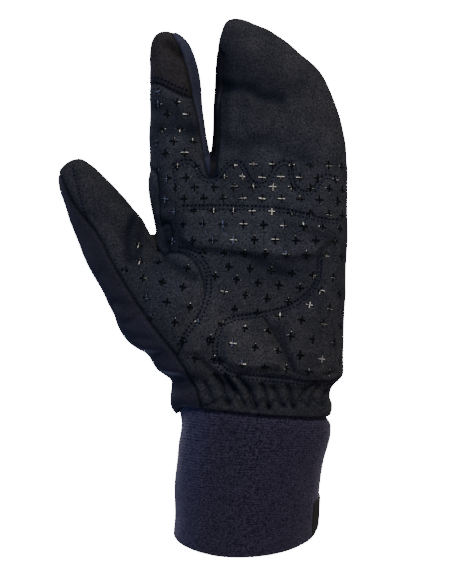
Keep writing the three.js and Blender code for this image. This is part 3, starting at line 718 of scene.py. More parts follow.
# a sliver of the back shows round the pouch's tip
tipSliver = {"height": 8.0, "at": (12, 203), "spread": 13}
labels = np.zeros(len(tris), int)
locked = np.zeros(len(points), bool)
value = points[:, 1] + skin["turnedUnderMm"]
points, tris, labels, value, locked = splitAlong(points, tris, labels, value, locked)
above = value[tris].sum(1) > 0
tris, labels = tris[above], labels[above]
used, tris = np.unique(tris, return_inverse=True)
tris = tris.reshape(-1, 3)
points, locked = points[used], locked[used]
for number, node in enumerate(skinLabels[1:], 1):
    outline, height = panels[node]
    away = (points[:, 0] - tipSliver["at"][0]) ** 2 + (points[:, 1] - tipSliver["at"][1]) ** 2
    sliver = tipSliver["height"] * np.exp(-away / tipSliver["spread"] ** 2) if node == "palm_panel" else 0.0
    value = np.minimum(
        insideDistance(points[:, 0], bowed(points)[:, 1], outline), points[:, 2] - height - sliver,
    )
    points, tris, labels, value, locked = splitAlong(points, tris, labels, value, locked)
    labels[(labels == 0) & (value[tris].sum(1) > 0)] = number
print("panels cut:", {node: int((labels == i).sum()) for i, node in enumerate(skinLabels)})


# seams, pads, gathers and folds raise and lower the skin

seamLook = {"depth": 0.9, "width": 1.3, "sideShare": 0.3}
fullness = {"allOver": 0.35, "outerSide": 0.5}
heelSplit = [(6.9, 52.8), (10.0, 47.7), (13.1, 42.5), (16.7, 36.3), (19.8, 30.1), (21.9, 25.0)]
stitchLines = {
    # path, rows of stitches, depth of the channel, width of the channel
    "scallops": {"path": [
        (-41.4, 133.0), (-34.7, 136.2), (-30.5, 135.0), (-28.2, 130.6), (-26.1, 126.5), (-21.1, 124.6),
        (-16.2, 127.5), (-13.4, 132.6), (-9.1, 135.5), (-4.8, 133.9), (-2.8, 128.7), (-0.1, 124.1),
        (4.1, 122.2), (8.4, 123.0), (11.0, 127.4), (12.7, 131.8), (16.4, 134.7), (20.0, 134.6), (21.4, 130.5),
        (21.3, 126.0), (22.9, 121.8), (26.1, 118.9), (29.7, 118.2), (33.4, 119.9), (36.5, 125.0),
        (39.5, 128.2), (44.2, 127.6), (47.5, 125.0),
    ], "rows": 2, "depth": 0.55, "width": 1.2},
    "archSide": {
        "path": [(-41.4, 133.0), (-40.6, 127.0), (-39.9, 121.7)], "rows": 1, "depth": 0.3, "width": 1.0,
    },
    "knuckleLine": {"path": [
        (-36.5, 110.8), (-20.5, 110.8), (-5.9, 110.4), (7.2, 109.9), (17.7, 108.9), (30.9, 105.9),
        (39.2, 104.1), (47.9, 104.0),
    ], "rows": 2, "depth": 0.6, "width": 1.2},
    "thumbArcLine": {"path": [
        (-39.0, 89.2), (-31.8, 87.9), (-26.6, 84.3), (-23.0, 78.6), (-22.0, 72.4), (-22.0, 66.2),
        (-24.1, 60.0), (-26.1, 54.3), (-30.3, 49.2), (-33.9, 44.5), (-37.0, 38.8),
    ], "rows": 2, "depth": 0.35, "width": 1.2},
    "heelLine": {"path": [
        (36.3, 83.9), (35.9, 78.0), (35.2, 72.3), (30.9, 66.0), (25.4, 61.8), (20.1, 58.2), (10.7, 55.6),
        (1.8, 54.1), (-8.5, 53.0), (-14.0, 50.6), (-17.3, 46.0), (-18.7, 40.0), (-18.9, 34.5), (-17.6, 29.8),
        (-13.7, 25.4), (-8.6, 23.1), (1.8, 22.1), (19.9, 20.4), (32.0, 18.6), (42.0, 17.9), (48.0, 19.5),
    ], "rows": 2, "depth": 0.7, "width": 1.4},
    "heelInnerLine": {"path": heelSplit, "rows": 0, "depth": 0.6, "width": 1.5},
    "tipSeamLine": {
        "path": [(-53.0, 181.8), (-48.3, 180.1), (-43.9, 177.6), (-38.6, 174.9), (-33.5, 173.5)], "rows": 2,
        "depth": 0.35, "width": 1.1,
    },
    "thumbTuck": {
        "path": [(-96.6, 134.3), (-94.6, 128.0), (-92.7, 121.8), (-90.3, 113.6), (-87.4, 104.9)], "rows": 1,
        "depth": 0.3, "width": 1.2,
    },
}
pads = {
    # outline, rise, how soft its edge is
    "knucklePad": ([
        (-36, 109), (-5, 108), (20, 106), (40, 101), (46, 94), (34, 84), (20, 82), (-5, 84), (-30, 87),
        (-38, 93),
    ], 1.6, 4.0),
    "heelPadLeft": (
        [(-16, 48), (-8, 51), (6, 52.5), (12, 43), (18, 25), (-5, 25), (-13, 28), (-16.5, 36)], 2.1, 4.0,
    ),
    "heelPadRight": (
        [(10, 53), (22, 56), (33, 64), (40, 72), (46, 60), (47, 24), (34, 21), (22, 23), (17, 35)], 1.9, 4.5,
    ),
    "thumbMound": (
        [(-62, 60), (-46, 44), (-37, 38), (-30, 52), (-27, 66), (-30, 79), (-44, 85), (-56, 84)], 1.2, 9.0,
    ),
}
foldsAndPaintedShading = {
    # path, rise (negative for a crease), spread, how much painted shade lies there (negative for painted
    # light); entries with no rise are painted only
    "underKnucklePad": (
        [(-37, 90), (-24, 88.0), (-10, 86.2), (-2, 84.6), (5, 81.6), (12, 78.2), (20, 75.5)], -0.9, 2.8, 0.45,
    ),
    "underKnuckleRight": ([(18, 80), (28, 80), (42, 82)], -0.4, 4.5, 0.05),
    "besideKnucklePad": ([(-47.7, 102.8), (-41, 102.8), (-39, 94.4), (-43.5, 90.3)], -0.8, 4.0, 0.45),
    "knucklePadRight": ([(20, 102), (30, 98.6), (43, 94.5)], -0.4, 3.6, 0.35),
    "palmUpRight": ([(6, 78), (20, 74), (34, 70)], -0.4, 8.0, 0.26),
    "pouchBand": (
        [(-19.0, 179.8), (-14.3, 177.8), (-5.8, 176.6), (0.6, 174.5), (5.9, 170.8), (15.5, 169.2)], -1.3,
        3.6, 0.6,
    ),
    "pouchUpper": ([(-16, 192), (-4, 186), (8, 182), (24, 176)], -0.5, 8.0, 0.36),
    "pouchHollow": ([(-5, 174), (8, 166)], 0.0, 12.0, 0.14),
    "pouchEdge": ([(-14, 198), (-14, 176), (-14, 150)], -0.4, 3.5, 0.35),
    "betweenScallops": ([(-14, 136), (-4, 140), (0, 131), (-10, 123), (-21, 130)], 0.0, 6.0, 0.26),
    "pouchRoot": (
        [(-13.2, 146.3), (-4.2, 144.2), (2.6, 147.3), (10.0, 146.3), (17.3, 141.0), (30.0, 136.8)], -0.7,
        3.6, 0.35,
    ),
    "pouchShoulder": ([(0, 156), (20, 152), (36, 148)], 0.7, 8.0, 0.0),
    "knucklePadCrown": ([(-27, 100), (-5, 100), (8, 99)], 0.0, 7.0, -0.22),
    "knucklePadLow": ([(-33, 94.5), (-26, 93.5), (-5, 92), (12, 90.5), (30, 89)], 0.0, 5.0, -0.36),
    "heelPadCrown": ([(-12, 43), (-6, 34), (2, 31)], 0.0, 9.0, -0.45),
    "palmLow": ([(-27, 60), (-20, 46)], 0.0, 12.0, -0.28),
    "heelRight": ([(32, 60), (40, 38)], 0.0, 10.0, 0.12),
    "heelFoot": ([(-13, 27), (2, 23.5)], 0.0, 5.0, -0.25),
    "heelFootRight": ([(35, 22), (43, 22)], 0.0, 5.0, -0.3),
    "hemLeft": ([(-35, 18), (-29, 8)], 0.0, 5.0, 0.2),
    "hemRight": ([(12, 9), (34, 9)], 0.0, 4.0, 0.12),
    "besideSideSeam": ([(-101, 118), (-92, 102), (-84, 89), (-76, 74), (-68, 60)], 0.0, 5.5, 0.3),
    "indexTipDent": ([(-45.0, 199.6), (-41.1, 196.9), (-37.7, 194.3)], -1.3, 2.4, 0.55),
    "indexRight": ([(-33, 172), (-30, 150)], 0.0, 5.0, 0.25),
    "indexTipSide": ([(-34, 192), (-31, 178)], 0.0, 4.0, 0.3),
    "indexEdge": ([(-54.5, 190), (-55, 165), (-54.5, 140), (-54, 120)], 0.0, 3.5, -0.8),
    "indexTop": ([(-52.0, 165.8), (-44.2, 165.2), (-39.9, 161.5)], -0.6, 3.8, 0.55),
    "indexMiddle": ([(-51, 154.3), (-38.8, 153.7), (-30.8, 152.7)], -0.8, 4.2, 0.6),
    "indexSide": ([(-53, 148), (-52, 138), (-49.6, 130.7), (-48.0, 122.7), (-45.9, 112.2)], -0.5, 3.2, 0.3),
    "thumbBend": ([(-62.5, 107.0), (-65.0, 99.0), (-65.5, 90.0), (-64.5, 83.0)], -1.1, 2.4, 0.5),
    "thumbBend2": ([(-59.0, 102.0), (-59.5, 92.0), (-60.0, 83.0)], -0.8, 2.6, 0.4),
    "thumbFront": ([(-66, 118), (-62, 97), (-55, 80)], 0.0, 9.0, 0.3),
    "thumbTip": ([(-90, 128), (-76, 105)], 0.0, 10.0, 0.2),
    "thumbRootDent": ([(-45.5, 84.0), (-38.0, 78.0), (-29.5, 73.5)], -1.0, 2.8, 0.5),
    "gussetFoot": ([(-45.2, 98.5), (-44.6, 92.0)], -0.6, 2.6, 0.5),
    "heelDivide": (heelSplit, 0.0, 0.9, 0.45),
    "heelPadFoot": (
        [(-15.0, 30.5), (-12.0, 27.0), (-7.6, 24.9), (0.4, 23.5), (10.5, 22.6), (20.8, 22.0)], -0.6, 1.3, 0.5,
    ),
    "heelPadSide": ([(-12.2, 46.6), (-13.7, 41.5), (-14.8, 35.3), (-15.3, 31.5)], -0.3, 2.0, 0.25),
    "besideHeel": ([(-27, 43), (-21.5, 39), (-21, 30), (-24, 24)], -0.5, 4.0, 0.1),
    "wristPull": ([(-29.0, 33.0), (-22.0, 26.5), (-15.0, 20.5), (-10.5, 15.0)], -1.0, 1.8, 0.3),
    "palmHollow": ([(-14, 70), (4, 68), (16, 66)], -0.8, 12.0, 0.0),
    "sideTuck1": ([(-78, 76), (-70, 70)], -0.7, 3.0, 0.0),
    "sideTuck2": ([(-72, 60), (-62, 58)], -0.8, 3.0, 0.0),
    "sideTuck3": ([(-66, 42), (-54, 41)], -1.0, 2.6, 0.0),
    "sideTuck4": ([(-58, 32), (-48, 34)], -0.9, 2.4, 0.0),
    "sideTuck5": ([(-48, 21), (-38, 22)], -1.1, 2.2, 0.0),
    "sideTuck6": ([(-42, 14), (-33, 15)], -0.8, 2.2, 0.0),
    "sleeveTuck1": ([(-24.6, 18.7), (-22.5, 14.5), (-20.4, 9.4)], -1.0, 1.3, 0.45),
    "sleeveTuck2": ([(-19.4, 22.3), (-15.3, 17.6), (-13.7, 11.9), (-12.2, 7.8)], -2.1, 1.45, 0.6),
    "sleeveTuck3": ([(-13.7, 22.3), (-8.5, 15.0), (-6.0, 10.4), (-4.4, 6.8)], -2.1, 1.45, 0.6),
    "sleeveTuck4": ([(-7.0, 21.8), (-2.3, 16.6), (0.2, 11.9), (1.8, 6.3)], -2.1, 1.45, 0.55),
    "sleeveTuck5": ([(5.4, 18.1), (7.5, 12.5), (9.0, 5.7)], -1.6, 1.25, 0.55),
    "sleeveTuck6": ([(11.1, 16.6), (13.7, 11.9), (16.8, 6.8)], -1.4, 1.25, 0.5),
    "sleeveTuck7": ([(18.9, 17.1), (20.9, 10.9), (22.0, 6.3)], -1.5, 1.3, 0.5),
    "sleeveTuck8": ([(25.1, 9.9), (28.2, 14.5), (33.3, 18.1)], -1.4, 1.5, 0.3),
    "sleeveTuck9": ([(29.8, 6.1), (30.9, 10.2), (35.0, 15.9)], -1.2, 1.2, 0.25),
    "sleeveTuck10": ([(40.1, 12.9), (37.5, 8.8), (39.6, 5.1)], -1.2, 1.3, 0.4),
    "hemPuckers": ([
        (-24.1, 6.8), (-19.9, 8.3), (-15.8, 11.9), (-12.2, 7.8), (-8.5, 12.5), (-4.4, 6.8), (-1.3, 11.4),
        (1.8, 6.3), (5.9, 10.9), (9.0, 5.7), (12.1, 10.4), (16.8, 6.8), (19.4, 10.9), (22.0, 6.3),
        (25.6, 10.4), (29.7, 6.3), (32.3, 10.4), (36.4, 6.3), (40, 8),
    ], -0.6, 0.8, 0.4),
}
gathers = {
    "middle": 18.0, "spacing": 7.2, "fan": 0.6, "height": 19.0, "rise": 1.5, "palmShare": 0.25, "reach": 22,
    "soft": 11,
}
drape = {"waveMm": 17.0, "rise": 0.5, "creaseMm": 6.5, "creaseRise": 0.16}


# cloth simulation: air inside puffs the padded panels between the lines that hold them

puff = {
    "gridMm": 4.0, "relaxRounds": 3, "inset": 0.5, "pressure": 40.0, "frames": 20,
    "heldMm": 2.8, "hemMm": 12, "facingUp": 0.1, "mostMm": 1.6, "neighbours": 5,
}


def puffedMove(onto):
    start, grid = weldedSkin(puff["gridMm"])
    start = relax(start, grid, puff["relaxRounds"])
    start -= vertexNormals(start, grid) * puff["inset"]
    facing = vertexNormals(start, grid)[:, 2]
    holding = [sideSeam, wristSeam, thumbArc] + [line["path"] for line in stitchLines.values()]
    nearest = np.min([pathDistance(start[:, 0], start[:, 1], path) for path in holding], axis=0)
    held = (nearest < puff["heldMm"]) | (facing < puff["facingUp"]) | (start[:, 1] < puff["hemMm"])
    cloth = makeObject("puffedCloth", start, grid)
    cloth.vertex_groups.new(name="held").add(np.nonzero(held)[0].tolist(), 1.0, "REPLACE")
    solver = cloth.modifiers.new("cloth", "CLOTH").settings
    solver.vertex_group_mass = "held"
    solver.quality = 6
    solver.use_pressure = True
    solver.uniform_pressure_force = puff["pressure"]
    solver.effector_weights.gravity = 0
    for moment in range(1, puff["frames"] + 1):
        bpy.context.scene.frame_set(moment)
    move = meshArrays(cloth)[0] - start
    bpy.context.scene.frame_set(1)
    bpy.data.objects.remove(cloth)
    size = np.maximum(np.linalg.norm(move, axis=1, keepdims=True), 1e-9)
    move *= puff["mostMm"] * np.tanh(size / puff["mostMm"]) / size
    print("cloth puffed: most", round(float(size.max()), 2), "mm, mean", round(float(size.mean()), 2), "mm")
    grown = KDTree(len(start))
    for k, spot in enumerate(start.tolist()):
        grown.insert(spot, k)
    grown.balance()
    moved = np.zeros_like(onto)
    for k, spot in enumerate(onto.tolist()):
        found = grown.find_n(spot, puff["neighbours"])
        weights = np.array([1 / (gap + 0.3) ** 2 for _, _, gap in found])
        moved[k] = weights @ move[[index for _, index, _ in found]] / weights.sum()
    return moved


def softNoise(points, size, seed):
    shift = Vector((seed * 17.3, seed * 5.1, seed * 9.7))
    return np.array([noise.noise(Vector(p) / size + shift) for p in points.tolist()])


def gatherRise(x, y, up):
    u = (x - gathers["middle"]) / (1 + gathers["fan"] * np.clip(y, 0, 24) / gathers["height"])
    phase = u / gathers["spacing"] + 0.28 * np.sin(u * 0.31 + 1.0) + 0.12 * np.sin(y * 0.35 + u * 0.2)
    fold = np.floor(phase + 0.5)
    strength = 0.7 + 0.3 * np.sin(fold * 2.4)
    ridge = np.abs(np.cos(np.pi * phase)) ** 0.7 - 0.62
    reach = gathers["reach"] + 4 * np.sin(fold * 1.7)
    window = 0.4 + 0.6 * smoothStep(0.5, 4, y)
    window = window * (1 - smoothStep(reach - gathers["soft"], reach, y)) * smoothStep(-40, -6, y)
    share = np.where(up > 0, gathers["palmShare"], 1.0) * smoothStep(0.0, 0.35, np.abs(up))
    return gathers["rise"] * ridge * strength * window * share


points += puffedMove(points) * smoothStep(0.15, 0.6, vertexNormals(points, tris)[:, 2:])
normals = vertexNormals(points, tris)
x, y, z = points.T
up = normals[:, 2]
face = smoothStep(0.05, 0.35, up)
rise = gatherRise(x, y, up)
y = bowed(points)[:, 1]
for outline, height, soft in pads.values():
    rise += height * smoothStep(-0.5, soft, insideDistance(x, y, outline)) * face
# painted light and shade: darker in folds, creases and hollows, lighter on pad crowns and the index's edge
paintedLightShade = np.ones(len(points))
for path, height, spread, darker in foldsAndPaintedShading.values():
    near = np.exp(-(pathDistance(x, y, path) / spread) ** 2) * face
    rise += height * near
    paintedLightShade -= darker * near
for line in stitchLines.values():
    rise -= line["depth"] * np.exp(-(pathDistance(x, y, line["path"]) / line["width"]) ** 2) * face
corner = tris.ravel()
owner = np.repeat(labels, 3)
low = np.full(len(points), 99)
high = np.full(len(points), -1)
np.minimum.at(low, corner, owner)
np.maximum.at(high, corner, owner)
onSeam = np.nonzero((low != high) & (high >= 0))[0]
tree = KDTree(len(onSeam))
for k, i in enumerate(onSeam.tolist()):
    tree.insert(points[i], k)
tree.balance()
seamDistance = np.array([tree.find(p)[2] for p in points.tolist()])
outer = smoothStep(20, 40, x)
# only stitches show where the thumb's seam runs on to the wrist
faint = 0.8 * smoothStep(68, 62, y) * smoothStep(36, 42, y)
faint = faint * np.exp(-(pathDistance(x, y, thumbArc) / 3) ** 2)
seamShare = 1 - (1 - seamLook["sideShare"]) * outer
seamShare = seamShare * (0.35 + 0.65 * smoothStep(0.0, 0.5, up)) * (1 - faint)
rise -= seamLook["depth"] * seamShare * np.exp(-(seamDistance / seamLook["width"]) ** 2)
outerSide = fullness["outerSide"] * outer * smoothStep(0.4, 0.9, normals[:, 0]) * smoothStep(70, 120, y)
rise += fullness["allOver"] + outerSide
resting = smoothStep(0.2, 3.0, z)
drapeRise = drape["rise"] * softNoise(points, drape["waveMm"], 1)
drapeRise = drapeRise + drape["creaseRise"] * softNoise(points, drape["creaseMm"], 2)
rise += drapeRise * (0.3 + 0.7 * resting)
shaped = points + normals * rise[:, None]

# the hem is turned under and sewn inside
hem = {"roundMm": 0.8}
depth = np.clip(-points[:, 1], 0, None)
angle = np.minimum(depth / hem["roundMm"], math.pi)
inward = -normals * np.array([1, 0, 1])
inward /= np.maximum(np.linalg.norm(inward, axis=1, keepdims=True), 1e-9)
under = depth > 0
turned = shaped + inward * (hem["roundMm"] * (1 - np.cos(angle)))[:, None]
turned[:, 1] = -hem["roundMm"] * np.sin(angle) + np.clip(depth - math.pi * hem["roundMm"], 0, None)
shaped[under] = turned[under]
shaped[:, 2] = np.maximum(shaped[:, 2], 0.0)
shaped = bowed(shaped)
print("skin shaped")

# painted shade in the stitch channels, the seam grooves and the fork's gap, and the bounds of all painted
# light and shade
shades = {
    "stitches": 0.15, "stitchWidth": 1.7, "seam": 0.75, "seamWidth": 0.7,
    "fork": 0.8, "darkest": 0.12, "lightest": 2.0,
}
for line in stitchLines.values():
    near = np.exp(-(pathDistance(x, y, line["path"]) / shades["stitchWidth"]) ** 2)
    paintedLightShade -= shades["stitches"] * near * face
paintedLightShade -= shades["seam"] * (1 - faint) * np.exp(-(seamDistance / shades["seamWidth"]) ** 2)
# the pouch's inner wall stands in the fork's shade
forkWall = smoothStep(-32, -28, x) * smoothStep(126, 134, y) * smoothStep(-15.5, -17.3, x)
paintedLightShade -= shades["fork"] * smoothStep(0.45, 0.85, -normals[:, 0]) * forkWall
forkFoot = smoothStep(-16.5, -18.0, x) * smoothStep(125, 128, y) * smoothStep(165, 150, y)
paintedLightShade -= shades["fork"] * smoothStep(-22.4, -21.0, x) * forkFoot
paintedLightShade = np.clip(paintedLightShade, shades["darkest"], shades["lightest"])

# painted bluish shade: these zones are tinted bluer, standing for the bluish light in the shade there
paintedBlueShadeZones = {
    # middle, half width, half height, how square
    "palm": ((2, 108), 48, 44, 4),
    "index": ((-46, 156), 14, 34, 2),
    "thumbRoot": ((-50, 70), 16, 24, 2),
}
paintedBlueShade = np.zeros(len(points))
for middle, wide, tall, square in paintedBlueShadeZones.values():
    paintedBlueShade += np.exp(-((x - middle[0]) / wide) ** square - ((y - middle[1]) / tall) ** square)

panelFinish = {
    "back_panel": ("backSoftShell", softShell, "soft_shell"),
    "web_strip": ("webStripSuede", palmSuede, "suede"),
    "fork_panel": ("forkSoftShell", forkShell, "soft_shell"),
    "index_tip_cap": ("indexTipSuede", tipSuede, "suede"),
    "thumb_face": ("thumbSuede", palmSuede, "suede"),
    "palm_panel": ("palmSuede", palmSuede, "suede"),
}
for number, node in enumerate(skinLabels):
    own = tris[labels == number]
    kept, faces = np.unique(own, return_inverse=True)
    pieceName, material, slotName = panelFinish[node]
    piece = makeObject(pieceName, shaped[kept], faces.reshape(-1, 3), material)
    for attribute, values in (("paintedLightShade", paintedLightShade), ("paintedBlueShade", paintedBlueShade)):
        piece.data.attributes.new(attribute, "FLOAT", "POINT").data.foreach_set("value", values[kept])
    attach(piece, "root")
    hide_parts(node)
print("panels made")

surface = BVHTree.FromPolygons(shaped.tolist(), tris.tolist())


def dropOnto(x, y):
    hit, normal, _, _ = surface.ray_cast(Vector((x, y, 200.0)), Vector((0, 0, -1)))
    return (hit, normal) if hit is not None else (None, None)


# stitches: short capsules of thread lying in their channels

stitch = {"length": 1.3, "pitch": 2.1, "thick": 0.85, "rowGap": 2.3, "sink": 0.05}


def capsule(length, radius, rings=5, columns=6):
    rows = []
    for k in range(rings):
        a = math.pi * (k + 0.5) / rings
        stretch = math.copysign(max(length / 2 - radius, 0), -math.cos(a)) * (abs(math.cos(a)) > 0.05)
        shift = -math.cos(a) * radius + stretch
        for j in range(columns):
            b = 2 * math.pi * j / columns
            rows.append((shift, math.sin(a) * radius * math.cos(b), math.sin(a) * radius * math.sin(b)))
    faces = loftFaces(rings, columns).tolist()
    faces += [list(range(columns))[::-1], list(range((rings - 1) * columns, rings * columns))]
    return np.array(rows), faces


def walkPath(path, pitch, sideways=0.0):
    corners = np.array(path, float)
    for _ in range(2):
        a, b = corners[:-1], corners[1:]
        cut = np.stack([a * 0.75 + b * 0.25, a * 0.25 + b * 0.75], 1).reshape(-1, 2)
        corners = np.concatenate([corners[:1], cut, corners[-1:]])
    step = np.linalg.norm(np.diff(corners, axis=0), axis=1)
    run = np.concatenate([[0], np.cumsum(step)])
    at = np.arange(pitch / 2, run[-1], pitch)
    px, py = np.interp(at, run, corners[:, 0]), np.interp(at, run, corners[:, 1])
    dx, dy = np.gradient(px), np.gradient(py)
    size = np.maximum(np.hypot(dx, dy), 1e-9)
    dx, dy = dx / size, dy / size
    return np.stack([px - dy * sideways, py + dx * sideways, dx, dy], 1)


def merged(parts):
    allPoints, allFaces, count = [], [], 0
    for p, f in parts:
        allPoints.append(p)
        allFaces += [[i + count for i in face] for face in f]
        count += len(p)
    return np.concatenate(allPoints), allFaces


def layAlong(base, faces, hit, normal, direction, sink):
    normal = np.array(normal)
    tangent = np.array([direction[0], direction[1], 0.0])
    tangent -= normal * tangent.dot(normal)
    tangent /= max(np.linalg.norm(tangent), 1e-9)
    third = np.cross(normal, tangent)
    return np.array(hit) + base[:, :1] * tangent + base[:, 1:2] * third + (base[:, 2:3] - sink) * normal, faces


stitchBase, stitchFaces = capsule(stitch["length"], stitch["thick"] / 2)
parts = []
for line in stitchLines.values():
    for row in range(line["rows"]):
        sideways = (row - (line["rows"] - 1) / 2) * stitch["rowGap"]
        for px, py, dx, dy in walkPath(line["path"], stitch["pitch"], sideways):
            hit, normal = dropOnto(px, py)
            if hit is not None and normal.z > 0.2:
                parts.append(layAlong(stitchBase, stitchFaces, hit, normal, (dx, dy), stitch["sink"]))
threads = makeObject("stitches", *merged(parts), sewingThread)
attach(threads, "root")
print("stitches:", len(parts))


# grip marks: domed silicone crosses printed in staggered rows on the suede

gripMark = {
    "span": 5.3, "bar": 1.05, "rise": 0.35, "sink": 0.06, "lean": 6.0, "glintAngle": 13.0, "litWithin": 3.2,
}
gripEdge = {"from": 45, "reach": 6, "soft": 5}  # the cloth turns down the side from here
marksPerRow = 24
gripRows = [
    # height of the row at x 0, its slope, where one mark is, their pitch
    (179.0, 0.1, -39.5, 10.0), (167.9, 0.0, -49.9, 10.4), (161.8, 0.0, -44.6, 10.2), (153.5, 0.0, -37.8, 9.8),
    (146.6, 0.0, -40.9, 10.1), (140.2, 0.0, -35.3, 10.2), (133.3, 0.013, 1.2, 10.1),
    (126.8, -0.002, -4.3, 10.0), (121.3, -0.002, 1.0, 10.2), (115.2, -0.008, -4.6, 10.2),
    (108.2, -0.02, 0.5, 10.2), (101.2, -0.024, -4.2, 10.5), (93.3, 0.0, 1.5, 10.8), (86.3, -0.02, -3.6, 10.8),
    (78.4, -0.1, -0.7, 11.1), (71.8, -0.137, 3.4, 11.1), (64.3, -0.16, -3.1, 11.1), (56.0, -0.163, 2.9, 11.6),
    (47.2, -0.175, -3.4, 11.8), (38.2, -0.18, 1.8, 11.6), (28.7, -0.12, -4.9, 11.5),
]
thumbGrip = [
    # marks on the thumb's root, which lean with its seam
    (-59.5, 91.2), (-58.4, 82.3), (-66.2, 77.7), (-49.1, 81.8), (-56.9, 73.5), (-46.5, 71.4), (-35.5, 68.8),
    (-54.8, 63.1), (-43.9, 61.0), (-31.9, 58.4), (-52.2, 53.2), (-39.7, 50.6), (-27.8, 50.6), (-35.5, 41.3),
    (-29.3, 32.0), (-22.0, 40.7), (-33.5, 78.7), (-19.4, 31.4),
]
litMarks = [
    # marks that lie tilted to the lamps and glint
    (-34.8, 163.6), (-43.5, 162.1), (-49.6, 167.9), (5.6, 126.1), (24.3, 125.1), (-4.9, 114.7), (5.9, 115.0),
    (16.2, 113.9), (-14.6, 100.6), (16.7, 100.6), (-9.6, 93.0), (-20.4, 94.1), (17.2, 85.9), (-10.3, 40.4),
    (-4.7, 29.5), (-20.4, 58.6), (-27.9, 51.6), (-13.9, 65.6), (29.6, 131.7),
]
gripZones = {
    "pouchAndPalm": [
        (-41, 88), (-48, 108), (-49, 134), (-36, 137), (-23, 124), (-14, 137), (49.9, 137), (49.9, 24),
        (36, 22), (-12, 27), (-25, 33), (-21, 52), (-18, 70), (-22, 84), (-30, 90),
    ],
    "index": [(-54, 177), (-44, 173), (-34, 168), (-30, 150), (-27, 128), (-50, 128)],
}


def towards(lampName):
    # the way a face points that mirrors this lamp straight up
    way = Vector(studio["lamps"][lampName][0]).normalized() + Vector((0, 0, 1))
    return np.array(way.normalized())


def leanOf(out, second, glint, lit):
    # how far a bar leans about its length, in radians
    if lit:
        return -math.atan2(glint.dot(second), glint.dot(out)) + math.radians(rng.normal(0, 2))
    for k in range(12):
        lean = math.radians(rng.normal(0, gripMark["lean"] + 2 * k))
        facing = out * math.cos(lean) - second * math.sin(lean)
        if all(facing.dot(way) < math.cos(math.radians(gripMark["glintAngle"])) for way in glints):
            break
    return lean


glints = [towards("keyLamp"), towards("fillLamp")]


def crossMark(hit, normal, angle, size, dome, lit):
    # two crossing bars, each point pressed onto the nearest cloth
    out = np.array(normal)
    along = np.array([math.cos(angle), math.sin(angle), 0.0])
    along -= out * along.dot(out)
    along /= np.linalg.norm(along)
    across = np.cross(out, along)
    parts = []
    for first, second, glint in ((along, across, glints[0]), (across, -along, glints[1])):
        u = np.linspace(-1, 1, 9)
        v = np.array([-1, -0.92, -0.32, 0.32, 0.92, 1])
        profile = np.interp(np.abs(v), [0.32, 0.92, 1], [1, 0.84, 0])
        lean = math.tan(leanOf(out, second, glint, lit))
        uu, vv = np.meshgrid(u, v, indexing="ij")
        sideways = vv * gripMark["bar"] / 2 * np.sqrt(np.clip(1 - np.abs(uu) ** 5, 0.02, 1))
        height = (dome * profile + lean * sideways) * (np.abs(uu) < 0.97) - gripMark["sink"]
        pressed = []
        for a, b, h in zip((uu * size / 2).ravel(), sideways.ravel(), height.ravel()):
            spot, facing, _, _ = surface.find_nearest(Vector(np.array(hit) + first * a + second * b))
            pressed.append(np.array(spot) + np.array(facing) * h)
        parts.append((np.array(pressed), loftFaces(9, 6, closed=False)))
    return parts


marks = []
spots = []
for height, slope, start, pitch in gripRows:
    for k in range(-marksPerRow // 2, marksPerRow // 2):
        px = start + k * pitch
        if px > gripEdge["from"]:
            squeezed = 1 - math.exp((gripEdge["from"] - px) / gripEdge["soft"])
            px = gripEdge["from"] + gripEdge["reach"] * squeezed
        spots.append((px, height + slope * px, slope))
spots += [(px, py, -0.2) for px, py in thumbGrip]
placed = np.array(spots).T
printed = np.arange(len(spots)) >= len(gripRows) * marksPerRow
for zone in gripZones.values():
    printed |= insideDistance(placed[0], placed[1], zone) > 0
for k in np.nonzero(printed)[0]:
    px, py, slope = spots[k]
    hit, normal = dropOnto(px, py)
    if hit is not None and normal.z > 0.1:
        lit = (np.hypot(*(np.array(litMarks) - (px, py)).T) < gripMark["litWithin"]).any()
        angle = math.atan(slope) + rng.normal(0, 0.05)
        span = gripMark["span"] * rng.uniform(0.92, 1.06)
        marks += crossMark(hit, normal, angle, span, gripMark["rise"] * rng.uniform(0.7, 1.25), lit)
grip = makeObject("gripMarks", *merged(marks), gripSilicone, smooth=False)
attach(grip, "root")
print("grip marks:", len(marks) // 2)


# knit cuff, sewn inside the hem and rolled at its rim

cuffForm = {
    "length": 79.0, "insert": 10.0, "sewnInside": 2.3, "freeFrom": 6.6,
    "width": 81.0, "thickness": 44.0, "wall": 2.4, "columns": 260,
    "rows": [
        # along, left, right, floor, crown
        (0.21, -0.462, 0.543, 0.027, 0.955), (0.264, -0.465, 0.54, 0.011, 0.975),
        (0.333, -0.479, 0.523, 0.0, 0.977), (0.417, -0.489, 0.499, -0.009, 0.984),
        (0.514, -0.498, 0.482, -0.018, 0.991), (0.639, -0.505, 0.465, -0.018, 1.0),
        (0.771, -0.509, 0.456, -0.018, 1.0), (0.903, -0.513, 0.45, -0.018, 1.0),
        (0.972, -0.516, 0.443, -0.014, 0.995), (1.0, -0.512, 0.437, -0.005, 0.98),
    ],
}


def cuffSections(below):
    # sections at a distance below the hem, negative inside it
    below = np.asarray(below, float)
    inner = np.array([1, -1, 1, -1]) * cuffForm["sewnInside"]
    hemSection = formSections(handForm, np.clip(-below, 0, None) / handForm["length"]) + inner
    scale = np.array([cuffForm["width"]] * 2 + [cuffForm["thickness"]] * 2)
    shown = smoothColumns(cuffForm["rows"], (below + cuffForm["insert"]) / cuffForm["length"]) * scale
    share = smoothStep(0, cuffForm["freeFrom"], below)[:, None]
    return hemSection * (1 - share) + shown * share


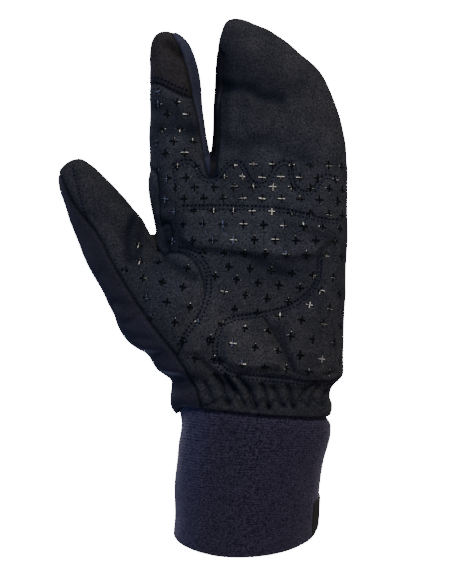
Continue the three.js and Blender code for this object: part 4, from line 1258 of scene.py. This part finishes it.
drop = cuffForm["length"] - cuffForm["insert"]
half = cuffForm["wall"] / 2
outside = np.concatenate([np.linspace(-cuffForm["insert"], 8, 22), np.linspace(8, drop - half, 80)[1:]])
rimTurn = np.linspace(0, math.pi, 9)[1:-1]
inside = np.linspace(drop - half, -cuffForm["insert"], 40)
below = np.concatenate([outside, drop - half + half * np.sin(rimTurn), inside])
inset = np.concatenate([
    np.zeros(len(outside)), half * (1 - np.cos(rimTurn)), np.full(len(inside), cuffForm["wall"]),
])
turns = math.pi - np.arange(cuffForm["columns"]) / cuffForm["columns"] * 2 * math.pi
angles = np.arctan2(np.sin(turns), np.cos(turns))
cx, cz = ringPoints(cuffSections(below), angles, inset[:, None])
cuffPoints = np.stack([cx, np.repeat(-below[:, None], cuffForm["columns"], 1), cz], -1).reshape(-1, 3)
wave = softNoise(cuffPoints, 20.0, 4) * 0.7 + softNoise(cuffPoints * np.array([1, 0.35, 1]), 7.0, 5) * 0.25
middles = cuffPoints.reshape(len(below), -1, 3).mean(1, keepdims=True)
centre = middles.repeat(cuffForm["columns"], 1).reshape(-1, 3)
outward = (cuffPoints - centre) * np.array([1, 0, 1])
outward /= np.maximum(np.linalg.norm(outward, axis=1, keepdims=True), 1e-9)
shownShare = smoothStep(2, 14, np.repeat(below, cuffForm["columns"]))
cuffPoints += outward * ((wave + 0.25) * shownShare)[:, None]
cuffPoints[:, 2] = np.maximum(cuffPoints[:, 2], np.repeat(inset, cuffForm["columns"]))
cuffFaces = loftFaces(len(below), cuffForm["columns"])
cuffPoints = bowed(cuffPoints)
cuff = makeObject("knitCuff", cuffPoints, cuffFaces, cuffKnit)
rings = cuffPoints.reshape(len(below), -1, 3)
ringStep = np.linalg.norm(np.diff(np.concatenate([rings, rings[:, :1]], 1), axis=1), axis=2)
perimeter = float(ringStep.sum(1).mean())
uvLayer = cuff.data.uv_layers.new(name="knitMm")
column = np.arange(len(cuffFaces)) % cuffForm["columns"]
row = np.arange(len(cuffFaces)) // cuffForm["columns"]
profile = np.concatenate([[0], np.cumsum(np.hypot(np.diff(below), np.diff(inset)))])
u0, u1 = column / cuffForm["columns"] * perimeter, (column + 1) / cuffForm["columns"] * perimeter
uvs = np.stack([u0, profile[row], u1, profile[row], u1, profile[row + 1], u0, profile[row + 1]], 1)
uvLayer.data.foreach_set("uv", uvs.ravel())
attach(cuff, "root")
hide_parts("knit_cuff")
print("cuff made")


# ribbon tag folded round the cuff's side

tagForm = {
    "fromRim": 2.6, "length": 19.0, "lowAngle": -0.75, "highAngle": 0.52, "gap": 0.3, "thick": 0.9,
    "rowCount": 24, "columns": 28,
}
tagHigh, tagWide = tagForm["rowCount"], tagForm["columns"]
tagRows = np.linspace(drop - tagForm["fromRim"] - tagForm["length"], drop - tagForm["fromRim"], tagHigh)
tagAngles = np.linspace(tagForm["lowAngle"], tagForm["highAngle"], tagWide)
# its edges are pressed thinner than its middle
down, across = np.linspace(-1, 1, tagHigh)[:, None], np.linspace(-1, 1, tagWide)[None, :]
edge = 1 - np.abs(down) ** 16 * 0.6 - np.abs(across) ** 16 * 0.4
layers = []
for lift in (tagForm["gap"], tagForm["gap"] + tagForm["thick"] * edge):
    tx, tz = ringPoints(cuffSections(tagRows), tagAngles, -lift)
    layers.append(np.stack([tx, np.repeat(-tagRows[:, None], tagWide, 1), tz], -1).reshape(-1, 3))
tagPoints = bowed(np.concatenate(layers))
size = tagHigh * tagWide
lower = loftFaces(tagHigh, tagWide, closed=False)
rim = list(range(tagWide)) + [j * tagWide + tagWide - 1 for j in range(1, tagHigh)]
rim += [(tagHigh - 1) * tagWide + i for i in range(tagWide - 2, -1, -1)]
rim += [j * tagWide for j in range(tagHigh - 2, 0, -1)]
sides = [[a, b, b + size, a + size] for a, b in zip(rim, rim[1:] + rim[:1])]
tag = makeObject("cuffTag", tagPoints, lower[:, ::-1].tolist() + (lower + size).tolist() + sides, tagRibbon)
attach(tag, "root")
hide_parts("cuff_tag")


# fleece lining, seen through the cuff

liningForm = {"voxelMm": 2.4, "insideMm": 2.4, "from": 11.5, "to": 110}
liningPoints, liningTris = weldedSkin(liningForm["voxelMm"])
liningPoints = liningPoints - vertexNormals(liningPoints, liningTris) * liningForm["insideMm"]
forward = liningPoints[liningTris][:, :, 1]
keep = ((forward > liningForm["from"]) & (forward < liningForm["to"])).all(1)
kept, liningFaces = np.unique(liningTris[keep], return_inverse=True)
lining = makeObject(
    "fleeceLining", bowed(liningPoints[kept]), liningFaces.reshape(-1, 3)[:, ::-1], liningFleece,
)
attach(lining, "root")
print("lining made")


# studio paper under the mitt

paperForm = {"halfMm": 3000, "below": 0.05}
paperCorners = [
    (i * paperForm["halfMm"], j * paperForm["halfMm"], -paperForm["below"])
    for i, j in ((-1, -1), (1, -1), (1, 1), (-1, 1))
]
paper = makeObject("studioPaper", np.array(paperCorners, float), [[0, 1, 2, 3]], studioPaper)
# the sheet shows white but throws no light up at the mitt
paper.visible_diffuse = False
paper.visible_glossy = False
